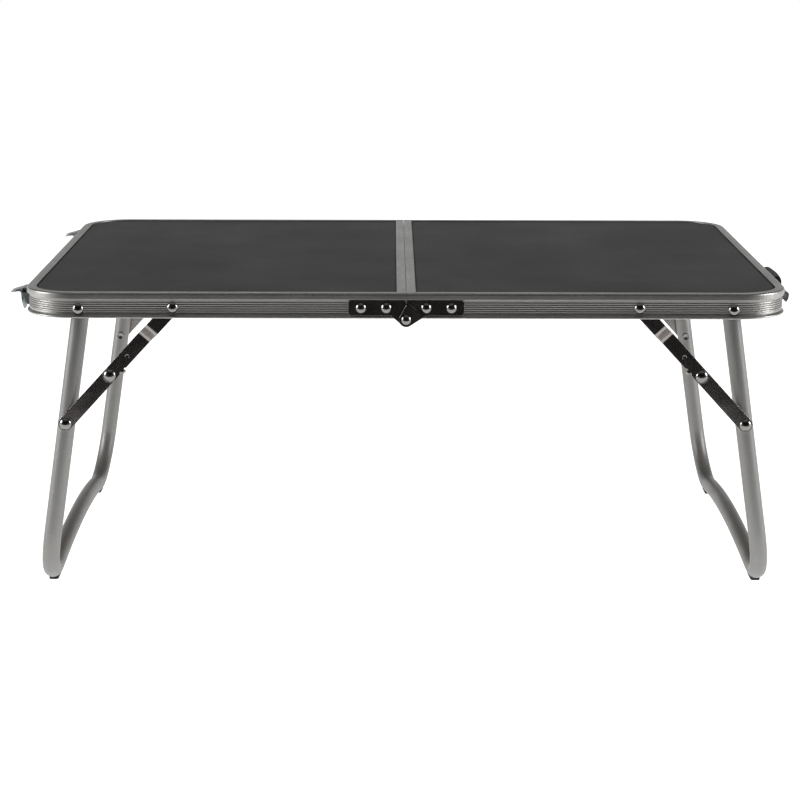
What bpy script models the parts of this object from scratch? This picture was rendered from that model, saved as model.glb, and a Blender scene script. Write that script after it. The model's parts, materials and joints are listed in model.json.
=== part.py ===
"""Folding picnic table: two hinged half tops with a U-shaped leg frame under each.

World frame in metres: +X along the table, +Y from the front edge to the rear edge,
+Z up from the floor. The origin lies on the floor under the middle of the hinge.
Edge sections are written as (inward, down): the distance in from the outer face of
the rim and the distance down from the top of the rim.
"""

import math

import bmesh
import bpy
from mathutils import Matrix, Vector

# Overall size
LENGTH = 0.600
WIDTH = 0.400
HEIGHT = 0.250
CORNER_RADIUS = 0.040
GAP = 0.0003

# Rim extrusion around each half
LIP_WIDTH = 0.0075
LIP_THICKNESS = 0.0012
RIM_HEIGHT = 0.020
WEB_OUTER = 0.0015
WEB_INNER = 0.0027
FACE_BOTTOM = 0.0050
BEAD_TOP = 0.0178
SHELF_TOP = 0.0047
SHELF_BOTTOM = 0.0056
SHELF_REACH = 0.0090
SEAM_HALF = 0.0003
CORNER_STEPS = 7

# Rail along the centre seam of each half
RAIL_WIDTH = 0.0072
RAIL_WEB = 0.0012

# Table board
PANEL_TOP = 0.0005
PANEL_REVEAL = 0.0012
REBATE_DEPTH = 0.0015
BOARD_BOTTOM = 0.0044

# Centre hinge
HINGE_DROP = 0.0205
HINGE_NOTCH = {-1: (0.0122, 0.0066), 1: (0.0154, 0.0079)}
HINGE_NOTCH_TOP = 0.0172
HINGE_NOTCH_BOTTOM = 0.0224
LEAF_LENGTH = 0.0450
LEAF_TOP = 0.0053
LEAF_BOTTOM = 0.0175
LEAF_CHAMFER = 0.0030
LEAF_THICKNESS = 0.0012
LOBE_RADIUS = 0.0057
LOBE_START = -35
LOBE_END = 215
STEP_TOP = 0.0072
STEP_HALF_WIDTH = 0.0006
LEFT_LEAF_CORNER = 0.0117
RIGHT_LEAF_CORNER = 0.0150
LEAF_RIVET_X = (0.0155, 0.0352)
LEAF_RIVET_DROP = 0.0115

# Leg frame: a tube bent to a U that leans outward when it is open
LEG_PIVOT_X = 0.2550
LEG_PIVOT_DROP = 0.0130
LEG_LEAN = math.radians(8.7)
LEG_PLANE = 0.0225
TUBE_RADIUS = 0.0070
TUBE_WALL = 0.0010
TUBE_SIDES = 12
TUBE_END_RADIUS = 0.0079
FOOT_BEND_RADIUS = 0.0440
CROSSBAR_RISE = 0.155
PAD_THICKNESS = 0.0013
PAD_LENGTH = 0.0200
PAD_WIDTH = 0.0075
PAD_CHAMFER = 0.0015
PAD_TOP = 0.0030

# Folding brace: an upper and a lower link
BRACE_PIVOT_X = 0.1817
BRACE_PIVOT_DROP = 0.0117
LEG_TO_BRACE = 0.0959
LINK_HALF_WIDTH = 0.00575
LINK_THICKNESS = 0.0012
UPPER_LINK_FACE = 0.0030
UPPER_LINK_INNER_FACE = 0.0122
LOWER_LINK_FACE = 0.0137
JOGGLE = (0.0250, 0.0342)
DIMPLE_FROM_JOINT = 0.0210
DIMPLE_RADIUS = 0.0015
DIMPLE_DEPTH = 0.0007
THROUGH = 0.0200

# Rivets and pins
SHANK_RADIUS = 0.0022
HOLE_CLEARANCE = 0.0003
ROUND_SIDES = 12

# Latches on the left end, catches and a carrying handle on the right end
LATCH_Y = 0.147
LATCH_HALF_WIDTH = 0.0090
EAR_THICKNESS = 0.0012
LATCH_PIN_OUT = 0.0034
LATCH_PIN_DROP = 0.0062
LATCH_PIN_RADIUS = 0.0010
TAB_REACH = 0.0151
HANDLE_CENTRE_Y = -0.0625
HANDLE_HALF_SPAN = 0.065
HANDLE_FOOT = 0.010
HANDLE_RISE = 0.0085
STRAP_THICKNESS = 0.0020
STRAP_DROP = (0.0075, 0.0155)
GRIP_SPAN = (-0.026, 0.026)
GRIP_DEPTH = 0.0090
GRIP_HEIGHT = 0.0130

HALF_X = LENGTH / 2
HALF_Y = WIDTH / 2
HINGE_Z = HEIGHT - HINGE_DROP
SIDES = {"left": -1, "right": 1}
EDGES = {"front": -1, "rear": 1}


# --- materials ------------------------------------------------------------------

def material(name, colour, roughness, metallic):
    """A plain Principled material."""
    made = bpy.data.materials.new(name)
    made.use_nodes = True
    shader = made.node_tree.nodes["Principled BSDF"]
    shader.inputs["Base Color"].default_value = (*colour, 1.0)
    shader.inputs["Roughness"].default_value = roughness
    shader.inputs["Metallic"].default_value = metallic
    made.diffuse_color = (*colour, 1.0)
    return made


def make_materials():
    """Every material of the table, by name."""
    return {
        "board": material("board", (0.035, 0.035, 0.036), 0.55, 0.0),
        "rim": material("rim", (0.42, 0.42, 0.41), 0.38, 1.0),
        "leg": material("leg", (0.36, 0.36, 0.36), 0.42, 0.6),
        "steel": material("steel", (0.20, 0.18, 0.17), 0.22, 1.0),
        "rivet": material("rivet", (0.45, 0.44, 0.43), 0.20, 1.0),
        "zinc": material("zinc", (0.34, 0.35, 0.35), 0.38, 1.0),
        "rubber": material("rubber", (0.015, 0.015, 0.015), 0.75, 0.0),
        "grip": material("grip", (0.010, 0.010, 0.010), 0.50, 0.0),
    }


# --- shape helpers ----------------------------------------------------------------

def mesh_object(name, points, faces, mat=None):
    """An object from points and faces, with its faces turned outward."""
    mesh = bpy.data.meshes.new(name)
    mesh.from_pydata(points, [], faces)
    work = bmesh.new()
    work.from_mesh(mesh)
    bmesh.ops.recalc_face_normals(work, faces=work.faces)
    if work.calc_volume(signed=True) < 0:
        bmesh.ops.reverse_faces(work, faces=work.faces)
    work.to_mesh(mesh)
    work.free()
    if mat:
        mesh.materials.append(mat)
    mesh.shade_smooth()
    mesh.set_sharp_from_angle(angle=math.radians(35))
    made = bpy.data.objects.new(name, mesh)
    bpy.context.scene.collection.objects.link(made)
    return made


def loft(name, rings, mat=None):
    """A closed solid through rings of points, with flat ends."""
    count = len(rings[0])
    points = [point for ring in rings for point in ring]
    faces = [list(range(count))]
    for ring in range(len(rings) - 1):
        low, high = ring * count, (ring + 1) * count
        for i in range(count):
            j = (i + 1) % count
            faces.append([low + i, low + j, high + j, high + i])
    faces.append(list(range(len(points) - count, len(points))))
    return mesh_object(name, points, faces, mat)


def prism(name, outline, place, low, high, mat=None):
    """An outline pushed from low to high; place(a, b, c) gives each world point."""
    rings = [[place(a, b, level) for a, b in outline] for level in (low, high)]
    return loft(name, rings, mat)


def rim_place(edge):
    """Places (x, down, inward) on the front or rear rim."""
    return lambda x, down, inward: Vector((x, edge * (HALF_Y - inward), HEIGHT - down))


def end_place(side):
    """Places (outward, down, y) on the left or right end of the table."""
    return lambda out, down, y: Vector((side * (HALF_X + out), y, HEIGHT - down))


def box(name, low, high):
    """A box between two corners."""
    outline = [(low[0], low[1]), (high[0], low[1]), (high[0], high[1]), (low[0], high[1])]
    return prism(name, outline, lambda x, y, z: Vector((x, y, z)), low[2], high[2])


def round_bar(name, x, z, radius, low, high):
    """A round bar along Y, used to cut rivet holes."""
    rings = [circle_ring(x, z, radius, y) for y in (low, high)]
    return loft(name, rings)


def circle_ring(x, z, radius, y, sides=ROUND_SIDES):
    """A ring of points around the Y axis."""
    turns = [2 * math.pi * i / sides for i in range(sides)]
    return [Vector((x + radius * math.cos(t), y, z + radius * math.sin(t))) for t in turns]


def combine(name, operation, base, tools):
    """Joins or cuts base with each tool by an exact Boolean, then removes the tools."""
    for tool in tools:
        step = base.modifiers.new(name, "BOOLEAN")
        step.operation = operation
        step.solver = "EXACT"
        step.object = tool
    graph = bpy.context.evaluated_depsgraph_get()
    mesh = bpy.data.meshes.new_from_object(base.evaluated_get(graph))
    base.modifiers.clear()
    base.data = mesh
    for tool in tools:
        bpy.data.objects.remove(tool)
    mesh.set_sharp_from_angle(angle=math.radians(35))
    return base


def cut(base, tools):
    """Cuts tools out of base."""
    return combine("cut", "DIFFERENCE", base, tools)


def move_origin(made, point):
    """Puts an object's origin on its joint axis without moving the shape."""
    made.data.transform(Matrix.Translation(-Vector(point)))
    made.location = point
    return made


def turned(name, x, z, edge, profile, mat):
    """A turned piece along Y from (inward, radius) pairs, the outer tip first."""
    rings = [circle_ring(x, z, radius, edge * (HALF_Y - inward)) for inward, radius in profile]
    return loft(name, rings, mat)


def dome(face, radius, height, steps=3):
    """Turned profile of a domed head that sits on a face, the tip first."""
    bulge = (radius ** 2 + height ** 2) / (2 * height)
    sweep = math.asin(radius / bulge)
    angles = [sweep * (i + 0.35) / (steps + 0.35) for i in range(steps + 1)]
    return [(face - height + bulge * (1 - math.cos(a)), bulge * math.sin(a)) for a in angles]


def rivet(name, x, down, edge, head, grip_end, tail, mat):
    """A solid rivet: domed head, shank, and a flat upset tail behind."""
    face, head_radius, head_height = head
    tail_radius, tail_height = tail
    profile = dome(face, head_radius, head_height)
    profile += [(face, SHANK_RADIUS), (grip_end, SHANK_RADIUS)]
    if tail_height:
        profile += [(grip_end, tail_radius), (grip_end + tail_height, tail_radius * 0.9)]
    return turned(name, x, HEIGHT - down, edge, profile, mat)


# --- rim frames, boards and rails -------------------------------------------------

def rim_profile():
    """Section of the rim extrusion: lip, recessed web, board shelf and lower bead."""
    return [
        (0.0, 0.0016), (0.00025, 0.0007), (0.0008, 0.00018), (0.0016, 0.0),
        (LIP_WIDTH - 0.0003, 0.0), (LIP_WIDTH, 0.0003), (LIP_WIDTH, LIP_THICKNESS),
        (WEB_INNER, LIP_THICKNESS), (WEB_INNER, SHELF_TOP), (SHELF_REACH, SHELF_TOP),
        (SHELF_REACH, SHELF_BOTTOM), (WEB_INNER, SHELF_BOTTOM),
        (WEB_INNER, RIM_HEIGHT - 0.0006), (WEB_INNER - 0.0006, RIM_HEIGHT),
        (0.0006, RIM_HEIGHT), (0.0, RIM_HEIGHT - 0.0006), (0.0, RIM_HEIGHT - 0.0014),
        (0.0006, BEAD_TOP + 0.0002), (WEB_OUTER, BEAD_TOP),
        (WEB_OUTER, FACE_BOTTOM + 0.0004), (0.0010, FACE_BOTTOM), (0.0, FACE_BOTTOM - 0.0004),
    ]


def rim_stations(side):
    """Points and inward directions along the rim of one half, front seam to rear seam."""
    stations = [(Vector((side * SEAM_HALF, -HALF_Y)), Vector((0, 1)))]
    for start, corner_y in ((-90, -1), (0, 1)):
        centre = Vector((side * (HALF_X - CORNER_RADIUS), corner_y * (HALF_Y - CORNER_RADIUS)))
        for step in range(CORNER_STEPS + 1):
            turn = math.radians(start + 90 * step / CORNER_STEPS)
            outward = Vector((side * math.cos(turn), math.sin(turn)))
            stations.append((centre + outward * CORNER_RADIUS, -outward))
    stations.append((Vector((side * SEAM_HALF, HALF_Y)), Vector((0, -1))))
    return stations


def make_edge_frame(name, side, mat):
    """Rim extrusion bent round one half, holed for its rivets, notched at the hinge."""
    rings = []
    for point, inward in rim_stations(side):
        ring = [(*(point + inward * depth), HEIGHT - down) for depth, down in rim_profile()]
        rings.append(ring)
    frame = loft(name, rings, mat)
    hole = SHANK_RADIUS + HOLE_CLEARANCE
    places = [(LEG_PIVOT_X, LEG_PIVOT_DROP), (BRACE_PIVOT_X, BRACE_PIVOT_DROP)]
    places += [(x, LEAF_RIVET_DROP) for x in LEAF_RIVET_X]
    tools = []
    for edge in EDGES.values():
        low, high = sorted((edge * (HALF_Y - 0.006), edge * (HALF_Y + 0.004)))
        tools += [round_bar("hole", side * x, HEIGHT - down, hole, low, high) for x, down in places]
        wide, narrow = (side * reach for reach in HINGE_NOTCH[side])
        past_seam = -side * 0.001
        notch = [
            (past_seam, HINGE_NOTCH_TOP), (wide, HINGE_NOTCH_TOP), (narrow, HINGE_NOTCH_BOTTOM),
            (past_seam, HINGE_NOTCH_BOTTOM),
        ]
        tools.append(prism("notch", notch, rim_place(edge), -0.004, 0.006))
    return cut(frame, tools)


def make_rail(name, side, mat):
    """Straight rail that closes one half along the centre seam."""
    outline = [
        (0.0, 0.0003), (0.0003, 0.0), (RAIL_WIDTH - 0.0003, 0.0), (RAIL_WIDTH, 0.0003),
        (RAIL_WIDTH, LIP_THICKNESS), (RAIL_WEB, LIP_THICKNESS), (RAIL_WEB, SHELF_TOP),
        (SHELF_REACH - 0.0003, SHELF_TOP), (SHELF_REACH - 0.0003, SHELF_BOTTOM),
        (RAIL_WEB, SHELF_BOTTOM), (RAIL_WEB, RIM_HEIGHT), (0.0, RIM_HEIGHT),
    ]
    reach = HALF_Y - LIP_WIDTH - GAP
    rail = prism(
        name, outline,
        lambda depth, down, y: Vector((side * (SEAM_HALF + depth), y, HEIGHT - down)),
        -reach, reach, mat,
    )
    tools = []
    for edge in EDGES.values():
        low, high = sorted((edge * (HALF_Y - SHELF_REACH - GAP), edge * HALF_Y))
        xs = sorted((-side * 0.002, side * 0.012))
        top = HEIGHT - LIP_THICKNESS - 0.0002
        tools.append(box("end", (xs[0], low, HEIGHT - 0.022), (xs[1], high, top)))
    return cut(rail, tools)


def board_ring(side, inset, seam_inset, down):
    """Outline of a half board, inset from the rim and from the centre seam."""
    radius = CORNER_RADIUS - inset
    seam_x = side * (SEAM_HALF + seam_inset)
    ring = [Vector((seam_x, -(HALF_Y - inset), HEIGHT - down))]
    for start, corner_y in ((-90, -1), (0, 1)):
        centre_x = side * (HALF_X - CORNER_RADIUS)
        centre_y = corner_y * (HALF_Y - CORNER_RADIUS)
        for step in range(CORNER_STEPS + 1):
            turn = math.radians(start + 90 * step / CORNER_STEPS)
            x = centre_x + side * radius * math.cos(turn)
            y = centre_y + radius * math.sin(turn)
            ring.append(Vector((x, y, HEIGHT - down)))
    ring.append(Vector((seam_x, HALF_Y - inset, HEIGHT - down)))
    return ring


def make_board(name, side, mat):
    """Half board: its rebated rim lies under the lips, its panel stands up between them."""
    rim_inset = WEB_INNER + GAP
    panel_inset = LIP_WIDTH + PANEL_REVEAL
    rings = [
        board_ring(side, rim_inset, RAIL_WEB + GAP, BOARD_BOTTOM),
        board_ring(side, rim_inset, RAIL_WEB + GAP, REBATE_DEPTH),
        board_ring(side, panel_inset, RAIL_WIDTH + PANEL_REVEAL, REBATE_DEPTH),
        board_ring(side, panel_inset, RAIL_WIDTH + PANEL_REVEAL, PANEL_TOP),
    ]
    return loft(name, rings, mat)


# --- centre hinge -------------------------------------------------------------------

def lobe_arc(first, last, steps=14):
    """Points of the round hinge lobe, angles measured from +X and turning downward."""
    turns = [math.radians(first + (last - first) * i / steps) for i in range(steps + 1)]
    return [(LOBE_RADIUS * math.cos(t), HINGE_DROP + LOBE_RADIUS * math.sin(t)) for t in turns]


def lobe_tangent(corner):
    """Angle below +X at which a line from a leaf's lower corner touches the lobe."""
    rise = HINGE_DROP - LEAF_BOTTOM
    lean = math.atan2(rise, corner)
    return math.degrees(math.acos(LOBE_RADIUS / math.hypot(corner, rise)) - lean)


def leaf_tools(side, edge):
    """Cutters for a leaf's two rivet holes and its pin hole."""
    hole = SHANK_RADIUS + HOLE_CLEARANCE
    low, high = sorted((edge * (HALF_Y - 0.003), edge * (HALF_Y + 0.004)))
    places = [(side * x, LEAF_RIVET_DROP) for x in LEAF_RIVET_X] + [(0.0, HINGE_DROP)]
    return [round_bar("hole", x, HEIGHT - down, hole, low, high) for x, down in places]


def make_left_leaf(name, edge, mat):
    """Flat leaf in the rim recess, with its lobe reaching under the seam."""
    outline = [
        (-LEAF_LENGTH, LEAF_BOTTOM - LEAF_CHAMFER), (-LEAF_LENGTH, LEAF_TOP + LEAF_CHAMFER),
        (-LEAF_LENGTH + LEAF_CHAMFER, LEAF_TOP), (-2 * GAP, LEAF_TOP), (-2 * GAP, 0.0090),
    ]
    outline += lobe_arc(LOBE_START, 180 - lobe_tangent(LEFT_LEAF_CORNER))
    outline += [(-LEFT_LEAF_CORNER, LEAF_BOTTOM), (-LEAF_LENGTH + LEAF_CHAMFER, LEAF_BOTTOM)]
    leaf = prism(name, outline, rim_place(edge), 0.0, LEAF_THICKNESS, mat)
    return cut(leaf, leaf_tools(-1, edge))


def make_right_leaf(name, edge, mat):
    """Leaf in the rim recess whose lobe is set forward, over the left leaf's lobe."""
    upper, lower = Vector((2 * GAP, STEP_TOP)), Vector((RIGHT_LEAF_CORNER, LEAF_BOTTOM))
    across = (lower - upper).normalized().orthogonal() * STEP_HALF_WIDTH
    plate = [
        tuple(upper), (2 * GAP, LEAF_TOP), (LEAF_LENGTH - LEAF_CHAMFER, LEAF_TOP),
        (LEAF_LENGTH, LEAF_TOP + LEAF_CHAMFER), (LEAF_LENGTH, LEAF_BOTTOM - LEAF_CHAMFER),
        (LEAF_LENGTH - LEAF_CHAMFER, LEAF_BOTTOM), tuple(lower),
    ]
    lobe = [tuple(upper), tuple(lower)] + lobe_arc(lobe_tangent(RIGHT_LEAF_CORNER), LOBE_END)
    step = [tuple(p) for p in (upper + across, lower + across, lower - across, upper - across)]
    place = rim_place(edge)
    forward = -LEAF_THICKNESS - GAP
    leaf = prism(name, plate, place, 0.0, LEAF_THICKNESS, mat)
    parts = [
        prism("lobe", lobe, place, forward, -GAP),
        prism("step", step, place, forward + 0.0001, LEAF_THICKNESS - 0.0001),
    ]
    combine("join", "UNION", leaf, parts)
    return cut(leaf, leaf_tools(1, edge))


def make_hinge(mats):
    """Both leaves, their rivets and the pivot pin on the front and rear rims."""
    for edge_name, edge in EDGES.items():
        make_left_leaf(f"{edge_name}_hinge_leaf_left", edge, mats["steel"])
        right = make_right_leaf(f"{edge_name}_hinge_leaf_right", edge, mats["steel"])
        move_origin(right, (0.0, right.location.y, HINGE_Z))
        for side_name, side in SIDES.items():
            for spot, x in zip(("inner", "outer"), LEAF_RIVET_X):
                rivet(
                    f"{edge_name}_leaf_rivet_{side_name}_{spot}", side * x, LEAF_RIVET_DROP, edge,
                    (-GAP, 0.0041, 0.0022), WEB_INNER + GAP, (0.0030, 0.0010), mats["rivet"],
                )
        rivet(
            f"{edge_name}_hinge_pin", 0.0, HINGE_DROP, edge,
            (-LEAF_THICKNESS - 2 * GAP, 0.0039, 0.0022), LEAF_THICKNESS + GAP,
            (0.0030, 0.0010), mats["rivet"],
        )


# --- leg frames ---------------------------------------------------------------------

def leg_bottom():
    """Distance along the leg from its pivot to the tube axis at the feet."""
    drop = HEIGHT - LEG_PIVOT_DROP - PAD_THICKNESS - TUBE_RADIUS
    return drop / math.cos(LEG_LEAN)


def crossbar_half():
    """Half of the leg path from the foot bend to mid crossbar, as (along, y) pairs."""
    half_y = HALF_Y - LEG_PLANE
    bend_start = leg_bottom() - FOOT_BEND_RADIUS
    path = []
    for step in range(9):
        turn = (math.pi / 2 + CROSSBAR_RISE) * step / 8
        along = bend_start + FOOT_BEND_RADIUS * math.sin(turn)
        path.append((along, -half_y + FOOT_BEND_RADIUS * (1 - math.cos(turn))))
    along, y = path[-1]
    bow_radius = -y / math.sin(CROSSBAR_RISE)
    for step in range(1, 6):
        turn = CROSSBAR_RISE * (1 - step / 5)
        bow_along = along - bow_radius * (math.cos(turn) - math.cos(CROSSBAR_RISE))
        path.append((bow_along, -bow_radius * math.sin(turn)))
    return path


def leg_path():
    """Axis of the whole U, from the front pivot down, across and up to the rear pivot."""
    half = [(0.0, -(HALF_Y - LEG_PLANE)), (LEG_TO_BRACE, -(HALF_Y - LEG_PLANE))]
    half += crossbar_half()
    return half + [(along, -y) for along, y in reversed(half[:-1])]


def leg_point(side, along, y):
    """World point of a place in the plane of the open leg frame."""
    x = side * (LEG_PIVOT_X + along * math.sin(LEG_LEAN))
    return Vector((x, y, HEIGHT - LEG_PIVOT_DROP - along * math.cos(LEG_LEAN)))


def path_rings(side, path, radius, rounded_ends=False, sides=TUBE_SIDES):
    """Rings of a tube along a leg-plane path; the pivot ends can follow a round nose."""
    axes = [Vector(place) for place in path]
    level = Vector((side * math.cos(LEG_LEAN), 0.0, math.sin(LEG_LEAN)))
    rings = []
    for index, axis in enumerate(axes):
        before = axes[max(index - 1, 0)]
        after = axes[min(index + 1, len(axes) - 1)]
        if 0 < index < len(axes) - 1:
            tangent = ((axis - before).normalized() + (after - axis).normalized()).normalized()
        else:
            tangent = (after - before).normalized()
        normal = Vector((-tangent.y, tangent.x))
        ring = []
        for turn in (2 * math.pi * (i + 0.5) / sides for i in range(sides)):
            out, level_out = radius * math.sin(turn), radius * math.cos(turn)
            place = axis + normal * out
            if rounded_ends and index in (0, len(axes) - 1):
                place.x = -math.sqrt(TUBE_END_RADIUS ** 2 - level_out ** 2)
            ring.append(leg_point(side, place.x, place.y) + level * level_out)
        rings.append(ring)
    return rings


def make_leg(name, side, mat):
    """Hollow U tube, open at both pivot ends and drilled for its rivets."""
    outer = path_rings(side, leg_path(), TUBE_RADIUS, rounded_ends=True)
    inner = path_rings(side, leg_path(), TUBE_RADIUS - TUBE_WALL, rounded_ends=True)
    walls = outer + inner[::-1]
    count = TUBE_SIDES
    points = [point for ring in walls for point in ring]
    faces = []
    for ring in range(len(walls)):
        low, high = ring * count, (ring + 1) % len(walls) * count
        for i in range(count):
            j = (i + 1) % count
            faces.append([low + i, low + j, high + j, high + i])
    leg = mesh_object(name, points, faces, mat)
    tools = []
    for edge in EDGES.values():
        low, high = sorted((edge * (HALF_Y - LEG_PLANE - 0.012), edge * (HALF_Y - LEG_PLANE + 0.012)))
        for along in (0.0, LEG_TO_BRACE):
            spot = leg_point(side, along, 0.0)
            hole = SHANK_RADIUS + HOLE_CLEARANCE
            tools.append(round_bar("hole", spot.x, spot.z, hole, low, high))
    cut(leg, tools)
    return move_origin(leg, leg_point(side, 0.0, 0.0))


def make_foot_pad(name, side, edge, mat):
    """Rubber pad under a foot bend, saddle-shaped above and flat on the floor."""
    centre = leg_point(side, leg_bottom(), edge * (HALF_Y - LEG_PLANE - FOOT_BEND_RADIUS))
    half_l, half_w, cham = PAD_LENGTH / 2, PAD_WIDTH / 2, PAD_CHAMFER
    outline = [
        (half_w, -half_l + cham), (half_w, half_l - cham), (half_w - cham, half_l),
        (-half_w + cham, half_l), (-half_w, half_l - cham), (-half_w, -half_l + cham),
        (-half_w + cham, -half_l), (half_w - cham, -half_l),
    ]
    place = lambda x, y, z: Vector((centre.x + x, centre.y + y, z))
    pad = prism(name, outline, place, 0.0, PAD_TOP, mat)
    half = [(along, y) for along, y in crossbar_half()]
    near = half[2:12] if edge < 0 else [(along, -y) for along, y in half[2:12]]
    saddle = loft("saddle", path_rings(side, near, TUBE_RADIUS + GAP))
    cut(pad, [saddle])
    return move_origin(pad, leg_point(side, 0.0, 0.0))


def make_leg_pin(name, side, edge, mat):
    """Shouldered pivot rivet: head on the rim, spacer, then a shank through the tube."""
    tube_outer = LEG_PLANE - TUBE_RADIUS
    tube_inner = LEG_PLANE + TUBE_RADIUS
    profile = dome(WEB_OUTER - GAP, 0.0045, 0.0024)
    profile += [
        (WEB_OUTER - GAP, SHANK_RADIUS), (WEB_INNER + GAP, SHANK_RADIUS),
        (WEB_INNER + GAP, 0.0040), (tube_outer - GAP, 0.0040),
        (tube_outer - GAP, SHANK_RADIUS), (tube_inner + GAP, SHANK_RADIUS),
        (tube_inner + GAP, 0.0036), (tube_inner + GAP + 0.0014, 0.0031),
    ]
    z = HEIGHT - LEG_PIVOT_DROP
    return turned(name, side * LEG_PIVOT_X, z, edge, profile, mat)


# --- folding braces -------------------------------------------------------------------

def brace_points(side):
    """World points of a brace: its rim pivot, its middle joint and its leg pivot."""
    top = Vector((side * BRACE_PIVOT_X, 0.0, HEIGHT - BRACE_PIVOT_DROP))
    leg = leg_point(side, LEG_TO_BRACE, 0.0)
    straight = (leg - top).length
    folded_leg = Vector((side * (LEG_PIVOT_X - LEG_TO_BRACE), 0.0, HEIGHT - LEG_PIVOT_DROP))
    folded = (folded_leg - top).length
    middle = top + (leg - top) * ((straight + folded) / 2 / straight)
    return top, middle, leg


def link_rings(start, end, edge, inward):
    """Rings of a flat strap with round ends; inward(s) sets its outer face along it."""
    length = (end - start).length
    along = (end - start) / length
    across = Vector((-along.z, 0.0, along.x))
    turns = [math.radians(a) for a in (6, 25, 45, 65, 90)]
    stations = [(-LINK_HALF_WIDTH * math.cos(t), LINK_HALF_WIDTH * math.sin(t)) for t in turns]
    stations += [(s, LINK_HALF_WIDTH) for s in JOGGLE if s < length - 0.025]
    stations += [(length - s, w) for s, w in stations[4::-1]]
    rings = []
    for s, half_width in stations:
        face = inward(s)
        ring = []
        for offset, depth in ((-1, 0.0), (1, 0.0), (1, LINK_THICKNESS), (-1, LINK_THICKNESS)):
            place = start + along * s + across * (offset * half_width)
            place.y = edge * (HALF_Y - face - depth)
            ring.append(place)
        rings.append(ring)
    return rings


def joggled_face(s):
    """Outer face of the upper link: by the rim first, then set in to meet the lower link."""
    share = min(max((s - JOGGLE[0]) / (JOGGLE[1] - JOGGLE[0]), 0.0), 1.0)
    return UPPER_LINK_FACE + share * (UPPER_LINK_INNER_FACE - UPPER_LINK_FACE)


def make_link(name, start, end, edge, inward, holes, mat):
    """One strap of a brace, drilled at (distance, radius, how far inward) places along it."""
    link = loft(name, link_rings(start, end, edge, inward), mat)
    along = (end - start).normalized()
    tools = []
    for distance, radius, reach in holes:
        spot = start + along * distance
        low, high = sorted((edge * (HALF_Y - reach), edge * (HALF_Y + 0.002)))
        tools.append(round_bar("hole", spot.x, spot.z, radius, low, high))
    return cut(link, tools)


def make_brace(side_name, side, edge_name, edge, mats):
    """Upper link, lower link and their three rivets at one corner of the table."""
    top, middle, leg = brace_points(side)
    hole = SHANK_RADIUS + HOLE_CLEARANCE
    upper_length = (middle - top).length
    corner = f"{edge_name}_{side_name}"
    upper = make_link(
        f"{corner}_upper_link", top, middle, edge, joggled_face,
        [
            (0.0, hole, THROUGH), (upper_length, hole, THROUGH),
            (upper_length - DIMPLE_FROM_JOINT, DIMPLE_RADIUS, UPPER_LINK_INNER_FACE + DIMPLE_DEPTH),
        ],
        mats["steel"],
    )
    move_origin(upper, top)
    lower = make_link(
        f"{corner}_lower_link", leg, middle, edge, lambda s: LOWER_LINK_FACE,
        [(0.0, hole, THROUGH), ((middle - leg).length, hole, THROUGH)], mats["steel"],
    )
    move_origin(lower, leg)
    rivet(
        f"{corner}_rim_rivet", top.x, HEIGHT - top.z, edge,
        (WEB_OUTER - GAP, 0.0045, 0.0024), UPPER_LINK_FACE + LINK_THICKNESS + GAP,
        (0.0034, 0.0012), mats["rivet"],
    )
    joint = rivet(
        f"{corner}_link_rivet", middle.x, HEIGHT - middle.z, edge,
        (UPPER_LINK_INNER_FACE - GAP, 0.0050, 0.0025),
        UPPER_LINK_INNER_FACE + LINK_THICKNESS, (0.0, 0.0), mats["rivet"],
    )
    move_origin(joint, top)
    end = rivet(
        f"{corner}_leg_rivet", leg.x, HEIGHT - leg.z, edge,
        (LOWER_LINK_FACE - GAP, 0.0049, 0.0025), LEG_PLANE + TUBE_RADIUS + GAP,
        (0.0034, 0.0012), mats["rivet"],
    )
    move_origin(end, leg_point(side, 0.0, 0.0))


# --- latches, catches and handle ----------------------------------------------------

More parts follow.
